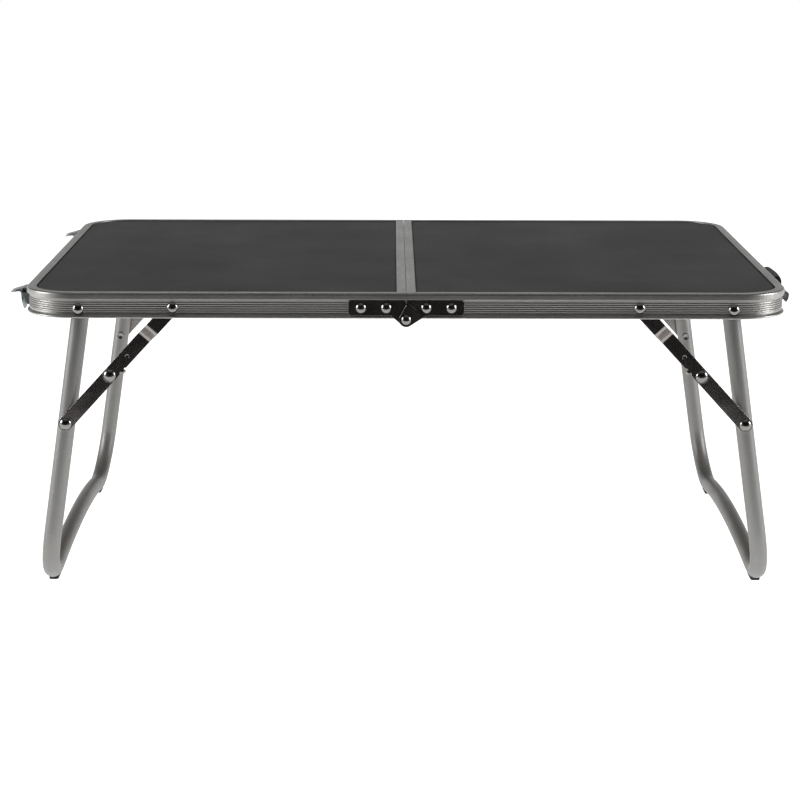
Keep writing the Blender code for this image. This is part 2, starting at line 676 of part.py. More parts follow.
def make_latch(edge_name, edge, mats):
    """Latch on the left end: a base with two ears, a lever with a claw, and its pin."""
    place = end_place(-1)
    centre = edge * LATCH_Y
    low, high = centre - LATCH_HALF_WIDTH, centre + LATCH_HALF_WIDTH
    ear = [
        (-0.0012, 0.0056), (0.0005, 0.0056), (0.0005, 0.0050), (0.0018, 0.0040),
        (0.0048, 0.0040), (0.0062, 0.0052), (0.0062, 0.0078), (0.0046, 0.0096),
        (0.0034, 0.0140), (0.0014, 0.0172), (-0.0012, 0.0172),
    ]
    base = prism(f"{edge_name}_latch_base", ear, place, low, high, mats["zinc"])
    inner = EAR_THICKNESS
    window = [(-0.0002, -0.002), (0.0100, -0.002), (0.0100, 0.0200), (-0.0002, 0.0200)]
    pin_x, pin_z = -(HALF_X + LATCH_PIN_OUT), HEIGHT - LATCH_PIN_DROP
    bore = LATCH_PIN_RADIUS + HOLE_CLEARANCE
    cut(base, [
        prism("window", window, place, low + inner, high - inner),
        round_bar("bore", pin_x, pin_z, bore, low - 0.001, high + 0.001),
    ])
    side_play = EAR_THICKNESS + 0.0004
    barrel = [math.radians(a) for a in (150, 180, 210, 240)]
    lever = [(0.0029, 0.0038), (0.0048, 0.0042), (0.0100, 0.0057), (0.0143, 0.0069)]
    lever += [(TAB_REACH, 0.0077), (0.0146, 0.0084), (0.0105, 0.0074), (0.0072, 0.0068)]
    lever += [(0.0062, 0.0084), (0.0060, 0.0140), (0.0050, 0.0205), (0.0044, 0.0216)]
    lever += [(0.0038, 0.0213), (0.0037, 0.0170), (0.0034, 0.0090)]
    for turn in barrel:
        lever.append((
            LATCH_PIN_OUT + 0.0024 * math.cos(turn),
            LATCH_PIN_DROP - 0.0024 * math.sin(turn + math.pi),
        ))
    arm = prism(f"{edge_name}_latch_lever", lever, place, low + side_play, high - side_play,
                mats["zinc"])
    cut(arm, [round_bar("bore", pin_x, pin_z, bore, low - 0.001, high + 0.001)])
    move_origin(arm, (pin_x, centre, pin_z))
    head, end = high + GAP, low - GAP
    steps = [
        (end - 0.0008, 0.0015), (end, 0.0017), (end, LATCH_PIN_RADIUS),
        (head, LATCH_PIN_RADIUS), (head, 0.0019), (head + 0.0009, 0.0015),
    ]
    rings = [circle_ring(pin_x, pin_z, radius, y, 12) for y, radius in steps]
    loft(f"{edge_name}_latch_pin", rings, mats["rivet"])


def make_catch(edge_name, edge, mat):
    """Catch plate on the right end, with a lip bent outward and down."""
    outline = [
        (-0.0012, 0.0056), (-0.0002, 0.0056), (0.0024, 0.0058), (0.0048, 0.0066),
        (0.0054, 0.0080), (0.0048, 0.0118), (0.0032, 0.0144), (0.0022, 0.0136),
        (0.0036, 0.0112), (0.0038, 0.0086), (0.0014, 0.0074), (-0.0002, 0.0074),
        (-0.0002, 0.0172), (-0.0012, 0.0172),
    ]
    low, high = edge * LATCH_Y - 0.008, edge * LATCH_Y + 0.008
    return prism(f"{edge_name}_catch", outline, end_place(1), low, high, mat)


def strap_offset(t):
    """Outward distance of the handle strap's middle, t along the end of the table."""
    foot = -WEB_OUTER + GAP + STRAP_THICKNESS / 2
    share = max(1 - (t / HANDLE_HALF_SPAN) ** 2, 0.0)
    return foot + HANDLE_RISE * share


def strap_frames(first, last, steps):
    """Places and outward normals along the handle strap between two distances."""
    frames = []
    for step in range(steps + 1):
        t = first + (last - first) * step / steps
        rise = (strap_offset(t + 1e-5) - strap_offset(t - 1e-5)) / 2e-5
        normal = Vector((1.0, -rise)).normalized()
        frames.append((Vector((strap_offset(t), t)), normal))
    return frames


def strap_solid(name, frames, thickness, drops, mat=None):
    """A flat bar that follows the strap, between two heights."""
    outline = [place + normal * thickness / 2 for place, normal in frames]
    outline += [place - normal * thickness / 2 for place, normal in reversed(frames)]
    place_on_end = end_place(1)
    return prism(
        name, [tuple(point) for point in outline],
        lambda out, t, down: place_on_end(out, down, HANDLE_CENTRE_Y + t),
        drops[0], drops[1], mat,
    )


def make_handle(mats):
    """Carrying handle on the right end: a bowed metal strap inside a moulded grip."""
    reach = HANDLE_HALF_SPAN + HANDLE_FOOT
    feet = strap_frames(-reach, -HANDLE_HALF_SPAN, 1)[:1]
    bow = strap_frames(-HANDLE_HALF_SPAN, HANDLE_HALF_SPAN, 28)
    feet_end = strap_frames(HANDLE_HALF_SPAN, reach, 1)[1:]
    strap_solid("handle_strap", feet + bow + feet_end, STRAP_THICKNESS, STRAP_DROP, mats["zinc"])
    middle = sum(STRAP_DROP) / 2
    place_on_end = end_place(1)
    rings = []
    for index, (place, normal) in enumerate(strap_frames(*GRIP_SPAN, 14)):
        swell = 0.86 if index in (0, 14) else 1.0
        ring = []
        for step in range(ROUND_SIDES):
            turn = 2 * math.pi * (step + 0.5) / ROUND_SIDES
            out = math.copysign(abs(math.cos(turn)) ** 0.7, math.cos(turn)) * GRIP_DEPTH / 2
            up = math.copysign(abs(math.sin(turn)) ** 0.7, math.sin(turn)) * GRIP_HEIGHT / 2
            spot = place + normal * out * swell
            ring.append(place_on_end(spot.x, middle - up * swell, HANDLE_CENTRE_Y + spot.y))
        rings.append(ring)
    grip = loft("handle_grip", rings, mats["grip"])
    clear = STRAP_THICKNESS + 2 * GAP
    slot_frames = strap_frames(GRIP_SPAN[0] - 0.006, GRIP_SPAN[1] + 0.006, 20)
    slot = strap_solid("slot", slot_frames, clear, (STRAP_DROP[0] - GAP, STRAP_DROP[1] + GAP))
    cut(grip, [slot])


# --- assembly -----------------------------------------------------------------------

def clear_scene():
    """Removes every object of the open scene."""
    for old in list(bpy.data.objects):
        bpy.data.objects.remove(old)


def make_half(side_name, side, mats):
    """One half of the table: top, rim, rail, leg frame and braces."""
    frame = make_edge_frame(f"{side_name}_edge_frame", side, mats["rim"])
    board = make_board(f"{side_name}_board", side, mats["board"])
    rail = make_rail(f"{side_name}_centre_rail", side, mats["rim"])
    if side > 0:
        for made in (frame, board, rail):
            move_origin(made, (0.0, 0.0, HINGE_Z))
    make_leg(f"{side_name}_leg_frame", side, mats["leg"])
    for edge_name, edge in EDGES.items():
        make_foot_pad(f"{edge_name}_{side_name}_foot_pad", side, edge, mats["rubber"])
        make_leg_pin(f"{edge_name}_{side_name}_leg_pin", side, edge, mats["rivet"])
        make_brace(side_name, side, edge_name, edge, mats)


def main():
    """Builds the whole table."""
    clear_scene()
    mats = make_materials()
    for side_name, side in SIDES.items():
        make_half(side_name, side, mats)
    make_hinge(mats)
    for edge_name, edge in EDGES.items():
        make_latch(edge_name, edge, mats)
        make_catch(edge_name, edge, mats["zinc"])
    make_handle(mats)


main()
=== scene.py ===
"""Folding picnic table: the finish of every visible piece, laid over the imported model.

The file follows the table as it is put together: rims, boards, centre rails, hinges, legs,
braces, latches, catches and the handle, then the studio that it stands in. Metres, +Z up.
"""
import json

import bpy
import numpy as np
from mathutils import Matrix, Vector
from mathutils.geometry import delaunay_2d_cdt


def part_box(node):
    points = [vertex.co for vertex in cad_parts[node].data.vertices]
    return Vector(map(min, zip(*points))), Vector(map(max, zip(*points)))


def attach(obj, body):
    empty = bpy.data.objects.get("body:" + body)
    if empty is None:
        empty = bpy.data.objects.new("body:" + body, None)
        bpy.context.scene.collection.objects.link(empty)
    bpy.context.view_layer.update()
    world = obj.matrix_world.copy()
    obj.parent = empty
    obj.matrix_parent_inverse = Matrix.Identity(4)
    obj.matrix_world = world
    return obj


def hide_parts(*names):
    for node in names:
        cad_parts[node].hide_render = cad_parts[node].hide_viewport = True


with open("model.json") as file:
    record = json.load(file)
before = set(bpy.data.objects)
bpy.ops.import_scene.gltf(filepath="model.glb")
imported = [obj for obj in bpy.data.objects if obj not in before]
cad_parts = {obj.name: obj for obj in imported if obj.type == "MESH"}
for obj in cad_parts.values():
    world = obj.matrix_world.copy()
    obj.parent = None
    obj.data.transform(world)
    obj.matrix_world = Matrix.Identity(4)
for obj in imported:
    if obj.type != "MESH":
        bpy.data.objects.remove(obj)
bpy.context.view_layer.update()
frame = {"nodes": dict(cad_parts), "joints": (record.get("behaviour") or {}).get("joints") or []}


# --- camera -------------------------------------------------------------------------
# A long lens in front of the table, a little above its top and aimed slightly down.

EYE = Vector((-0.0118, -1.8472, 0.5462))
LOOK_RIGHT, LOOK_DOWN, LOOK_ROLL = np.radians((0.2491, 13.0151, 0.1658))
across = Vector((np.cos(LOOK_RIGHT), -np.sin(LOOK_RIGHT), 0.0))
ahead = Vector((
    np.sin(LOOK_RIGHT) * np.cos(LOOK_DOWN), np.cos(LOOK_RIGHT) * np.cos(LOOK_DOWN), -np.sin(LOOK_DOWN),
))
upward = across.cross(ahead)
rolled = across * np.cos(LOOK_ROLL) + upward * np.sin(LOOK_ROLL)
turn_to_view = Matrix((rolled, rolled.cross(ahead), -ahead)).transposed()

lens = bpy.data.cameras.new("camera")
lens.sensor_width = 36.0
lens.lens = 97.08
lens.clip_end = 30.0
camera = bpy.data.objects.new("camera", lens)
camera.matrix_world = Matrix.Translation(EYE) @ turn_to_view.to_4x4()
bpy.context.scene.collection.objects.link(camera)
bpy.context.scene.camera = camera


# --- edge frames ----------------------------------------------------------------------
# One ribbed aluminium extrusion per half, bent round its two corners and open at the seam.
# Satin silver anodising over drawn metal. Its lip holds the board, its ribs stand in a recess.

rim_low, rim_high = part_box("left_edge_frame")
HALF_LENGTH, HALF_WIDTH, TOP = -rim_low.x, rim_high.y, rim_high.z
SEAM = 0.00012
RIM_CORNER = 0.040
RIM_DEPTH = 0.020
LIP = 0.0075
LIP_SHEET = 0.0012
WEB_BACK = 0.0027
WEB_FACE = 0.0019
RIB_CREST, RIB_VALLEY = 0.0014, 0.0021
RIBS_TOP, RIB_PITCH, RIB_COUNT = 0.0072, 0.0017, 5
SHELF_TOP, SHELF_UNDER, SHELF_END = 0.0047, 0.0056, 0.0090
HINGE_NOTCH, HINGE_NOTCH_TOP = {-1: 0.0122, 1: 0.0154}, 0.0172
NOTCH_SLOPE = {-1: 1.09, 1: 1.53}
CORNER_STATIONS = 26
SIDES = (("left", -1), ("right", 1))
EDGES = (("front", -1), ("rear", 1))


def arc(centre, radius, first, last, steps=6):
    """Points on a circle: the centre plus the radius times (cos, sin) of evenly spread angles."""
    turn = np.radians(np.linspace(first, last, steps))
    return np.asarray(centre) + radius * np.stack([np.cos(turn), np.sin(turn)], axis=1)


def running_length(points):
    """Distance along a row of points: the running sum of the gaps between neighbours."""
    gaps = np.linalg.norm(np.diff(points, axis=0), axis=1)
    return np.concatenate([[0.0], np.cumsum(gaps)])


def add_piece(name, points, faces, lie, wear, material, crease=40.0):
    """A mesh from points and faces. lie is a UV pair for each face corner, wear one number for
    each point. The sign of its volume, a third of the sum of centre times area, turns it outward."""
    mesh = bpy.data.meshes.new(name)
    mesh.from_pydata(np.asarray(points, float).tolist(), [], faces)
    mesh.uv_layers.new(name="lie").data.foreach_set("uv", np.asarray(lie, np.float32).ravel())
    mesh.attributes.new("wear", "FLOAT", "POINT").data.foreach_set("value", np.asarray(wear, np.float32))
    mesh.materials.append(material)
    count = len(mesh.polygons)
    middle, area, facing = np.empty(count * 3), np.empty(count), np.empty(count * 3)
    mesh.polygons.foreach_get("center", middle)
    mesh.polygons.foreach_get("area", area)
    mesh.polygons.foreach_get("normal", facing)
    outward = (middle.reshape(-1, 3) * facing.reshape(-1, 3)).sum(axis=1) @ area
    if outward < 0:
        mesh.flip_normals()
    mesh.shade_smooth()
    mesh.set_sharp_from_angle(angle=np.radians(crease))
    piece = bpy.data.objects.new(name, mesh)
    bpy.context.scene.collection.objects.link(piece)
    even = piece.modifiers.new("even shading", "WEIGHTED_NORMAL")
    even.keep_sharp = True
    return piece


def skin(name, grid, along, round_it, material, wear=None, ring=False, crease=40.0):
    """A closed skin on a grid of points, station by station. Cell (i, j) is the quad between
    stations i, i+1 and points j, j+1, and each station closes on itself. A ring also joins its
    last station to its first, and anything else gets two flat ends. UV is (along, round_it)."""
    stations, count = grid.shape[:2]
    last = stations if ring else stations - 1
    i, j = np.meshgrid(np.arange(last), np.arange(count), indexing="ij")
    i_next, j_next = (i + 1) % stations, (j + 1) % count
    quads = np.stack([i * count + j, i * count + j_next, i_next * count + j_next, i_next * count + j], axis=2)
    u = np.stack([along[i], along[i], along[i + 1], along[i + 1]], axis=2)
    v = np.stack([round_it[j], round_it[j + 1], round_it[j + 1], round_it[j]], axis=2)
    faces = quads.reshape(-1, 4).tolist()
    lie = np.stack([u, v], axis=3).reshape(-1, 2)
    if not ring:
        faces += [np.arange(count)[::-1].tolist(), (np.arange(count) + (stations - 1) * count).tolist()]
        ends = np.stack([np.repeat([along[0], along[-1]], count), np.tile(round_it[:-1], 2)], axis=1)
        lie = np.concatenate([lie, ends])
    wear = np.zeros(count) if wear is None else wear
    return add_piece(name, grid.reshape(-1, 3), faces, lie, np.tile(wear, stations), material, crease)


def closed_length(outline):
    """Running length round a closed outline, with the whole way round as its last value."""
    return running_length(np.concatenate([outline, outline[:1]]))


def rim_section():
    """Section of the extrusion as (inward, down): round top edge, flat lip, board shelf, lower
    bead, and a web whose ribs follow the size of a sine wave, one half wave to a rib."""
    rib_down = np.linspace(RIBS_TOP + RIB_COUNT * RIB_PITCH, RIBS_TOP, RIB_COUNT * 8 + 1)
    wave = np.abs(np.sin(np.pi * (rib_down - RIBS_TOP) / RIB_PITCH))
    ribs = np.stack([RIB_VALLEY + (RIB_CREST - RIB_VALLEY) * wave ** 0.8, rib_down], axis=1)
    return np.concatenate([
        arc((0.0016, 0.0016), 0.0016, 180, 270, 8),
        arc((LIP - 0.0003, 0.0003), 0.0003, 270, 360, 4),
        [(LIP, LIP_SHEET), (WEB_BACK, LIP_SHEET), (WEB_BACK, SHELF_TOP), (SHELF_END, SHELF_TOP)],
        [(SHELF_END, SHELF_UNDER), (WEB_BACK, SHELF_UNDER)],
        arc((WEB_BACK - 0.0006, RIM_DEPTH - 0.0006), 0.0006, 0, 90, 4),
        arc((0.0009, RIM_DEPTH - 0.0009), 0.0009, 90, 236, 9),
        [(WEB_FACE, 0.0172), (WEB_FACE, 0.0159)],
        ribs,
        [(WEB_FACE, 0.0070), (WEB_FACE, 0.0056), (WEB_FACE - 0.0003, 0.0052)],
        arc((0.0004, 0.0046), 0.0004, 80, 180, 5),
    ])


def rim_path(side, radius, inset=0.0):
    """Way round one half from the front of the seam to its rear: straight, a quarter circle,
    straight, a quarter circle, straight. Returns the points and the directions into the table."""
    first, second = np.linspace(-90, 0, CORNER_STATIONS), np.linspace(0, 90, CORNER_STATIONS)
    turn = np.radians(np.concatenate([first, second]))
    outward = np.stack([side * np.cos(turn), np.sin(turn)], axis=1)
    centre = np.stack([
        np.full(len(turn), side * (HALF_LENGTH - radius)),
        np.sign(turn + np.repeat([-1e-9, 1e-9], CORNER_STATIONS)) * (HALF_WIDTH - radius),
    ], axis=1)
    corners = centre + outward * (radius - inset)
    seam_x = side * np.array([SEAM, HINGE_NOTCH[side], HINGE_NOTCH[side]])
    front = np.stack([seam_x, np.full(3, inset - HALF_WIDTH)], axis=1)
    rear = np.stack([seam_x[::-1], np.full(3, HALF_WIDTH - inset)], axis=1)
    inward = np.concatenate([np.tile([0.0, 1.0], (3, 1)), -outward, np.tile([0.0, -1.0], (3, 1))])
    return np.concatenate([front, corners, rear]), inward


def rim_grid(side):
    """The section carried round the path. Beside the seam everything below the hinge notch is
    pressed up to the notch's top. The notch ends between two stations at the same place, the
    second of which slants towards the seam by the notch's slope times the depth below its top."""
    path, inward = rim_path(side, RIM_CORNER)
    section = rim_section()
    plan = path[:, None, :] + inward[:, None, :] * section[None, :, :1]
    down = np.tile(section[:, 1], (len(path), 1))
    notched = np.r_[0, 1, len(path) - 2, len(path) - 1]
    down[notched] = np.minimum(down[notched], HINGE_NOTCH_TOP)
    slant = NOTCH_SLOPE[side] * np.maximum(section[:, 1] - HINGE_NOTCH_TOP, 0.0)
    plan[[2, len(path) - 3], :, 0] -= side * slant
    return np.concatenate([plan, (TOP - down)[:, :, None]], axis=2), running_length(path), section


def at(value, low, high):
    """One where value is between low and high, nought elsewhere."""
    return ((value >= low) & (value <= high)).astype(float)


def add_node(tree, kind, feeds, **settings):
    """A shader node with its settings, its sockets linked or given their plain values."""
    made = tree.nodes.new(kind)
    for setting, value in settings.items():
        setattr(made, setting, value)
    for socket, value in feeds.items():
        if isinstance(value, bpy.types.NodeSocket):
            tree.links.new(value, made.inputs[socket])
        else:
            made.inputs[socket].default_value = value
    return made


def new_group(name, takes, gives):
    """An empty shader group with named sockets: takes is {name: (kind, value)}, gives {name: kind}."""
    tree = bpy.data.node_groups.new(name, "ShaderNodeTree")
    for socket, (kind, value) in takes.items():
        made = tree.interface.new_socket(socket, in_out="INPUT", socket_type=f"NodeSocket{kind}")
        if value is not None:
            made.default_value = value
    for socket, kind in gives.items():
        tree.interface.new_socket(socket, in_out="OUTPUT", socket_type=f"NodeSocket{kind}")
    return tree, tree.nodes.new("NodeGroupInput"), tree.nodes.new("NodeGroupOutput")


def group_of_drawn_lines():
    """Die lines of drawn or rolled metal: noise stretched a hundredfold along the first UV axis,
    so that it changes slowly along the piece and quickly across it."""
    tree, takes, gives = new_group(
        "drawn lines", {"Lie": ("Vector", None), "Lines per metre": ("Float", 2500.0)},
        {"Tone": "Float", "Height": "Float"},
    )
    scale = add_node(tree, "ShaderNodeCombineXYZ", {"X": 14.0, "Y": takes.outputs["Lines per metre"]})
    spread = add_node(
        tree, "ShaderNodeVectorMath", {0: takes.outputs["Lie"], 1: scale.outputs[0]}, operation="MULTIPLY",
    )
    fine = add_node(tree, "ShaderNodeTexNoise", {"Vector": spread.outputs[0], "Scale": 1.0, "Detail": 3.0})
    tree.links.new(fine.outputs["Fac"], gives.inputs["Height"])
    tone = add_node(
        tree, "ShaderNodeMapRange",
        {"Value": fine.outputs["Fac"], "From Min": 0.3, "From Max": 0.7, "To Min": 0.0, "To Max": 1.0},
    )
    tree.links.new(tone.outputs[0], gives.inputs["Tone"])
    return tree


def group_of_handling():
    """Marks of use: broad smudges from soft noise, and a few fine scuffs where a stretched,
    warped noise passes a high threshold."""
    tree, takes, gives = new_group(
        "handling marks", {"Place": ("Vector", None), "Size": ("Float", 0.04)},
        {"Smudge": "Float", "Scuff": "Float"},
    )
    scale = add_node(tree, "ShaderNodeMath", {0: 1.0, 1: takes.outputs["Size"]}, operation="DIVIDE")
    broad = add_node(
        tree, "ShaderNodeTexNoise",
        {"Vector": takes.outputs["Place"], "Scale": scale.outputs[0], "Detail": 4.0, "Roughness": 0.62},
    )
    smudge = add_node(
        tree, "ShaderNodeMapRange",
        {"Value": broad.outputs["Fac"], "From Min": 0.35, "From Max": 0.7, "To Min": 0.0, "To Max": 1.0},
    )
    tree.links.new(smudge.outputs[0], gives.inputs["Smudge"])
    spread = add_node(
        tree, "ShaderNodeVectorMath", {0: takes.outputs["Place"], 1: (900.0, 160.0, 520.0)},
        operation="MULTIPLY",
    )
    thin = add_node(
        tree, "ShaderNodeTexNoise",
        {"Vector": spread.outputs[0], "Scale": 1.0, "Detail": 1.0, "Distortion": 0.7},
    )
    scuff = add_node(
        tree, "ShaderNodeMapRange",
        {"Value": thin.outputs["Fac"], "From Min": 0.68, "From Max": 0.74, "To Min": 0.0, "To Max": 1.0},
    )
    tree.links.new(scuff.outputs[0], gives.inputs["Scuff"])
    return tree


def group_of_edge_wear():
    """Rubbed edges: the piece's own edge mask times patchy noise, so that the finish thins in
    places along an edge and nowhere else."""
    tree, takes, gives = new_group(
        "edge wear", {"Place": ("Vector", None), "Edge": ("Float", 0.0), "Amount": ("Float", 0.5)},
        {"Worn": "Float"},
    )
    patch = add_node(
        tree, "ShaderNodeTexNoise",
        {"Vector": takes.outputs["Place"], "Scale": 260.0, "Detail": 5.0, "Roughness": 0.7},
    )
    worn = add_node(
        tree, "ShaderNodeMapRange",
        {"Value": patch.outputs["Fac"], "From Min": 0.42, "From Max": 0.62, "To Min": 0.0, "To Max": 1.0},
    )
    share = add_node(
        tree, "ShaderNodeMath", {0: worn.outputs[0], 1: takes.outputs["Edge"]}, operation="MULTIPLY",
    )
    amount = add_node(
        tree, "ShaderNodeMath", {0: share.outputs[0], 1: takes.outputs["Amount"]},
        operation="MULTIPLY", use_clamp=True,
    )
    tree.links.new(amount.outputs[0], gives.inputs["Worn"])
    return tree


def group_of_grain():
    """Fine surface grain: cells and noise of one size, given as a height and as a tone."""
    tree, takes, gives = new_group(
        "fine grain", {"Place": ("Vector", None), "Size": ("Float", 0.0006)},
        {"Tone": "Float", "Height": "Float"},
    )
    scale = add_node(tree, "ShaderNodeMath", {0: 1.0, 1: takes.outputs["Size"]}, operation="DIVIDE")
    cells = add_node(
        tree, "ShaderNodeTexVoronoi", {"Vector": takes.outputs["Place"], "Scale": scale.outputs[0]},
    )
    cloud = add_node(
        tree, "ShaderNodeTexNoise",
        {"Vector": takes.outputs["Place"], "Scale": scale.outputs[0], "Detail": 3.0},
    )
    both = add_node(
        tree, "ShaderNodeMath", {0: cells.outputs["Distance"], 1: cloud.outputs["Fac"]}, operation="MULTIPLY",
    )
    tree.links.new(both.outputs[0], gives.inputs["Height"])
    tree.links.new(cloud.outputs["Fac"], gives.inputs["Tone"])
    return tree


drawn_lines, handling, edge_wear, fine_grain = (
    group_of_drawn_lines(), group_of_handling(), group_of_edge_wear(), group_of_grain(),
)


class Finish:
    """A material being put together: its tree, its Principled shader, and where it reads from."""

    def __init__(self, name, colour, roughness, metallic, **plain):
        self.material = bpy.data.materials.new(name)
        self.material.use_nodes = True
        self.tree = self.material.node_tree
        self.shader = self.tree.nodes["Principled BSDF"]
        self.colour, self.roughness = (*colour, 1.0), roughness
        self.shader.inputs["Base Color"].default_value = self.colour
        self.shader.inputs["Roughness"].default_value = roughness
        self.shader.inputs["Metallic"].default_value = metallic
        for socket, value in plain.items():
            self.shader.inputs[socket.replace("_", " ")].default_value = value
        self.place = self.add("ShaderNodeTexCoord", {}).outputs["Object"]

    def add(self, kind, feeds, **settings):
        """A node in this material."""
        return add_node(self.tree, kind, feeds, **settings)

    def use(self, group, **feeds):
        """A placed group and its outputs."""
        made = self.tree.nodes.new("ShaderNodeGroup")
        made.node_tree = group
        for socket, value in feeds.items():
            socket = socket.replace("_", " ")
            if isinstance(value, bpy.types.NodeSocket):
                self.tree.links.new(value, made.inputs[socket])
            else:
                made.inputs[socket].default_value = value
        return made.outputs

    def lie(self):
        """The piece's own UV."""
        return self.add("ShaderNodeUVMap", {}, uv_map="lie").outputs[0]

    def edge(self):
        """The piece's own edge mask."""
        return self.add("ShaderNodeAttribute", {}, attribute_name="wear").outputs["Fac"]

    def tint(self, mask, colour, share=1.0):
        """Mixes a colour in where the mask says, and keeps the result as the colour so far."""
        amount = self.add("ShaderNodeMath", {0: mask, 1: share}, operation="MULTIPLY").outputs[0]
        mix = self.add("ShaderNodeMix", {"Factor": amount}, data_type="RGBA")
        for socket, value in ((mix.inputs[6], self.colour), (mix.inputs[7], (*colour, 1.0))):
            if isinstance(value, bpy.types.NodeSocket):
                self.tree.links.new(value, socket)
            else:
                socket.default_value = value
        self.colour = mix.outputs[2]

    def roughen(self, mask, change):
        """Adds mask times change to the roughness so far."""
        self.roughness = self.add(
            "ShaderNodeMath", {0: mask, 1: change, 2: self.roughness},
            operation="MULTIPLY_ADD", use_clamp=True,
        ).outputs[0]

    def emboss(self, height, depth):
        """A bump of that height field and depth in metres, on top of any before it."""
        feeds = {"Height": height, "Strength": 1.0, "Distance": depth}
        if self.shader.inputs["Normal"].is_linked:
            feeds["Normal"] = self.shader.inputs["Normal"].links[0].from_socket
        bump = self.add("ShaderNodeBump", feeds)
        self.tree.links.new(bump.outputs[0], self.shader.inputs["Normal"])

    def done(self):
        """Joins colour and roughness to the shader and returns the material."""
        for socket, value in (("Base Color", self.colour), ("Roughness", self.roughness)):
            if isinstance(value, bpy.types.NodeSocket):
                self.tree.links.new(value, self.shader.inputs[socket])
        return self.material


def anodised_aluminium():
    """Satin silver anodising: die lines along the extrusion, soft smudges, rubbed round edges."""
    finish = Finish("anodised aluminium", (0.46, 0.455, 0.44), 0.36, 1.0)
    lines = finish.use(drawn_lines, Lie=finish.lie(), Lines_per_metre=2600.0)
    marks = finish.use(handling, Place=finish.place, Size=0.05)
    worn = finish.use(edge_wear, Place=finish.place, Edge=finish.edge(), Amount=0.5)["Worn"]
    finish.tint(lines["Tone"], (0.40, 0.395, 0.38), 0.6)
    finish.tint(marks["Smudge"], (0.43, 0.42, 0.40), 0.45)
    finish.tint(marks["Scuff"], (0.62, 0.62, 0.60), 0.35)
    finish.tint(worn, (0.66, 0.66, 0.65))
    finish.roughen(lines["Tone"], 0.06)
    finish.roughen(marks["Smudge"], 0.07)
    finish.roughen(worn, -0.08)
    finish.emboss(lines["Height"], 0.00003)
    return finish.done()


aluminium = anodised_aluminium()

for side_name, side in SIDES:
    grid, along, section = rim_grid(side)
    round_edges = np.maximum(at(section[:, 1], 0.0, 0.0016) * at(section[:, 0], 0.0, 0.0016),
                             at(section[:, 1], 0.0185, 0.0200))
    rim = skin(f"{side_name}_rim", grid, along, closed_length(section), aluminium, round_edges, crease=50.0)
    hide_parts(f"{side_name}_edge_frame")
    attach(rim, f"{side_name}_half")


# --- boards -------------------------------------------------------------------------------
# A thin fibreboard panel in each half, faced with dark charcoal laminate that stands just
# below the lips, its rebated edge tucked under them. The underside is bare brown board.

PANEL_DOWN, PANEL_INSET, PANEL_ROUND = 0.0005, 0.0087, 0.00025
REBATE_DOWN, BOARD_UNDER = 0.0015, 0.0044
RAIL_SHEET, RAIL_WIDTH = 0.0012, 0.0072
CLEAR = 0.0003


def board_outline(side, inset, seam_inset, down):
    """A half board's outline: the rim path set in by inset, and closed by a straight line that
    lies seam_inset from the seam."""
    path, _ = rim_path(side, RIM_CORNER, inset)
    plan = path[2:-2].copy()
    plan[[0, -1], 0] = side * (SEAM + seam_inset)
    return np.concatenate([plan, np.full((len(plan), 1), TOP - down)], axis=1)


def laminate():
    """Charcoal laminate: a close leathery grain, a faint cloud of tone, light handling marks."""
    finish = Finish("charcoal laminate", (0.0215, 0.0205, 0.0210), 0.42, 0.0, Specular_IOR_Level=0.085)
    grain = finish.use(fine_grain, Place=finish.place, Size=0.0007)
    marks = finish.use(handling, Place=finish.place, Size=0.11)
    finish.tint(grain["Tone"], (0.015, 0.0147, 0.015), 0.8)
    finish.tint(marks["Smudge"], (0.030, 0.0275, 0.0285), 0.45)
    finish.tint(marks["Scuff"], (0.060, 0.060, 0.060), 0.25)
    finish.roughen(marks["Smudge"], 0.06)
    finish.roughen(grain["Tone"], 0.05)
    finish.emboss(grain["Height"], 0.00006)
    return finish.done()


def bare_fibreboard():
    """Brown pressed fibreboard: matted fibres, darker where they are packed closer."""
    finish = Finish("bare fibreboard", (0.150, 0.092, 0.052), 0.82, 0.0, Specular_IOR_Level=0.2)
    fibres = finish.use(fine_grain, Place=finish.place, Size=0.0011)
    marks = finish.use(handling, Place=finish.place, Size=0.05)
    finish.tint(fibres["Tone"], (0.070, 0.042, 0.024), 0.9)
    finish.tint(marks["Smudge"], (0.110, 0.070, 0.042), 0.5)
    finish.roughen(fibres["Tone"], 0.08)
    finish.emboss(fibres["Height"], 0.00022)
    return finish.done()


charcoal, fibreboard = laminate(), bare_fibreboard()

for side_name, side in SIDES:
    inset_down = [
        (WEB_BACK + 0.0005, RAIL_SHEET + 0.0005, BOARD_UNDER), (WEB_BACK + CLEAR, RAIL_SHEET + CLEAR, 0.0042),
        (WEB_BACK + CLEAR, RAIL_SHEET + CLEAR, REBATE_DOWN), (PANEL_INSET, RAIL_WIDTH + 0.0012, REBATE_DOWN),
    ]
    for inset, down in PANEL_ROUND * (1 - arc((0, 0), 1.0, 0, 90, 4)):
        inset_down.append((PANEL_INSET + inset, RAIL_WIDTH + 0.0012 + inset, PANEL_DOWN + down))
    grid = np.stack([board_outline(side, *level) for level in inset_down])
    board = skin(f"{side_name}_table_board", grid, np.zeros(len(grid)), closed_length(grid[0]), charcoal)
    board.data.materials.append(fibreboard)
    facing = np.empty(len(board.data.polygons) * 3)
    board.data.polygons.foreach_get("normal", facing)
    board.data.polygons.foreach_set("material_index", (facing[2::3] < -0.3).astype(np.int32))
    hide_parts(f"{side_name}_board")
    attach(board, f"{side_name}_half")


# --- centre rails -----------------------------------------------------------------------------
# A straight angle of the same aluminium along the seam side of each half. Its top is level
# with the lips and butts against them, and its leg and shelf stop inside the rim.

RAIL_LEG_END = 0.0093


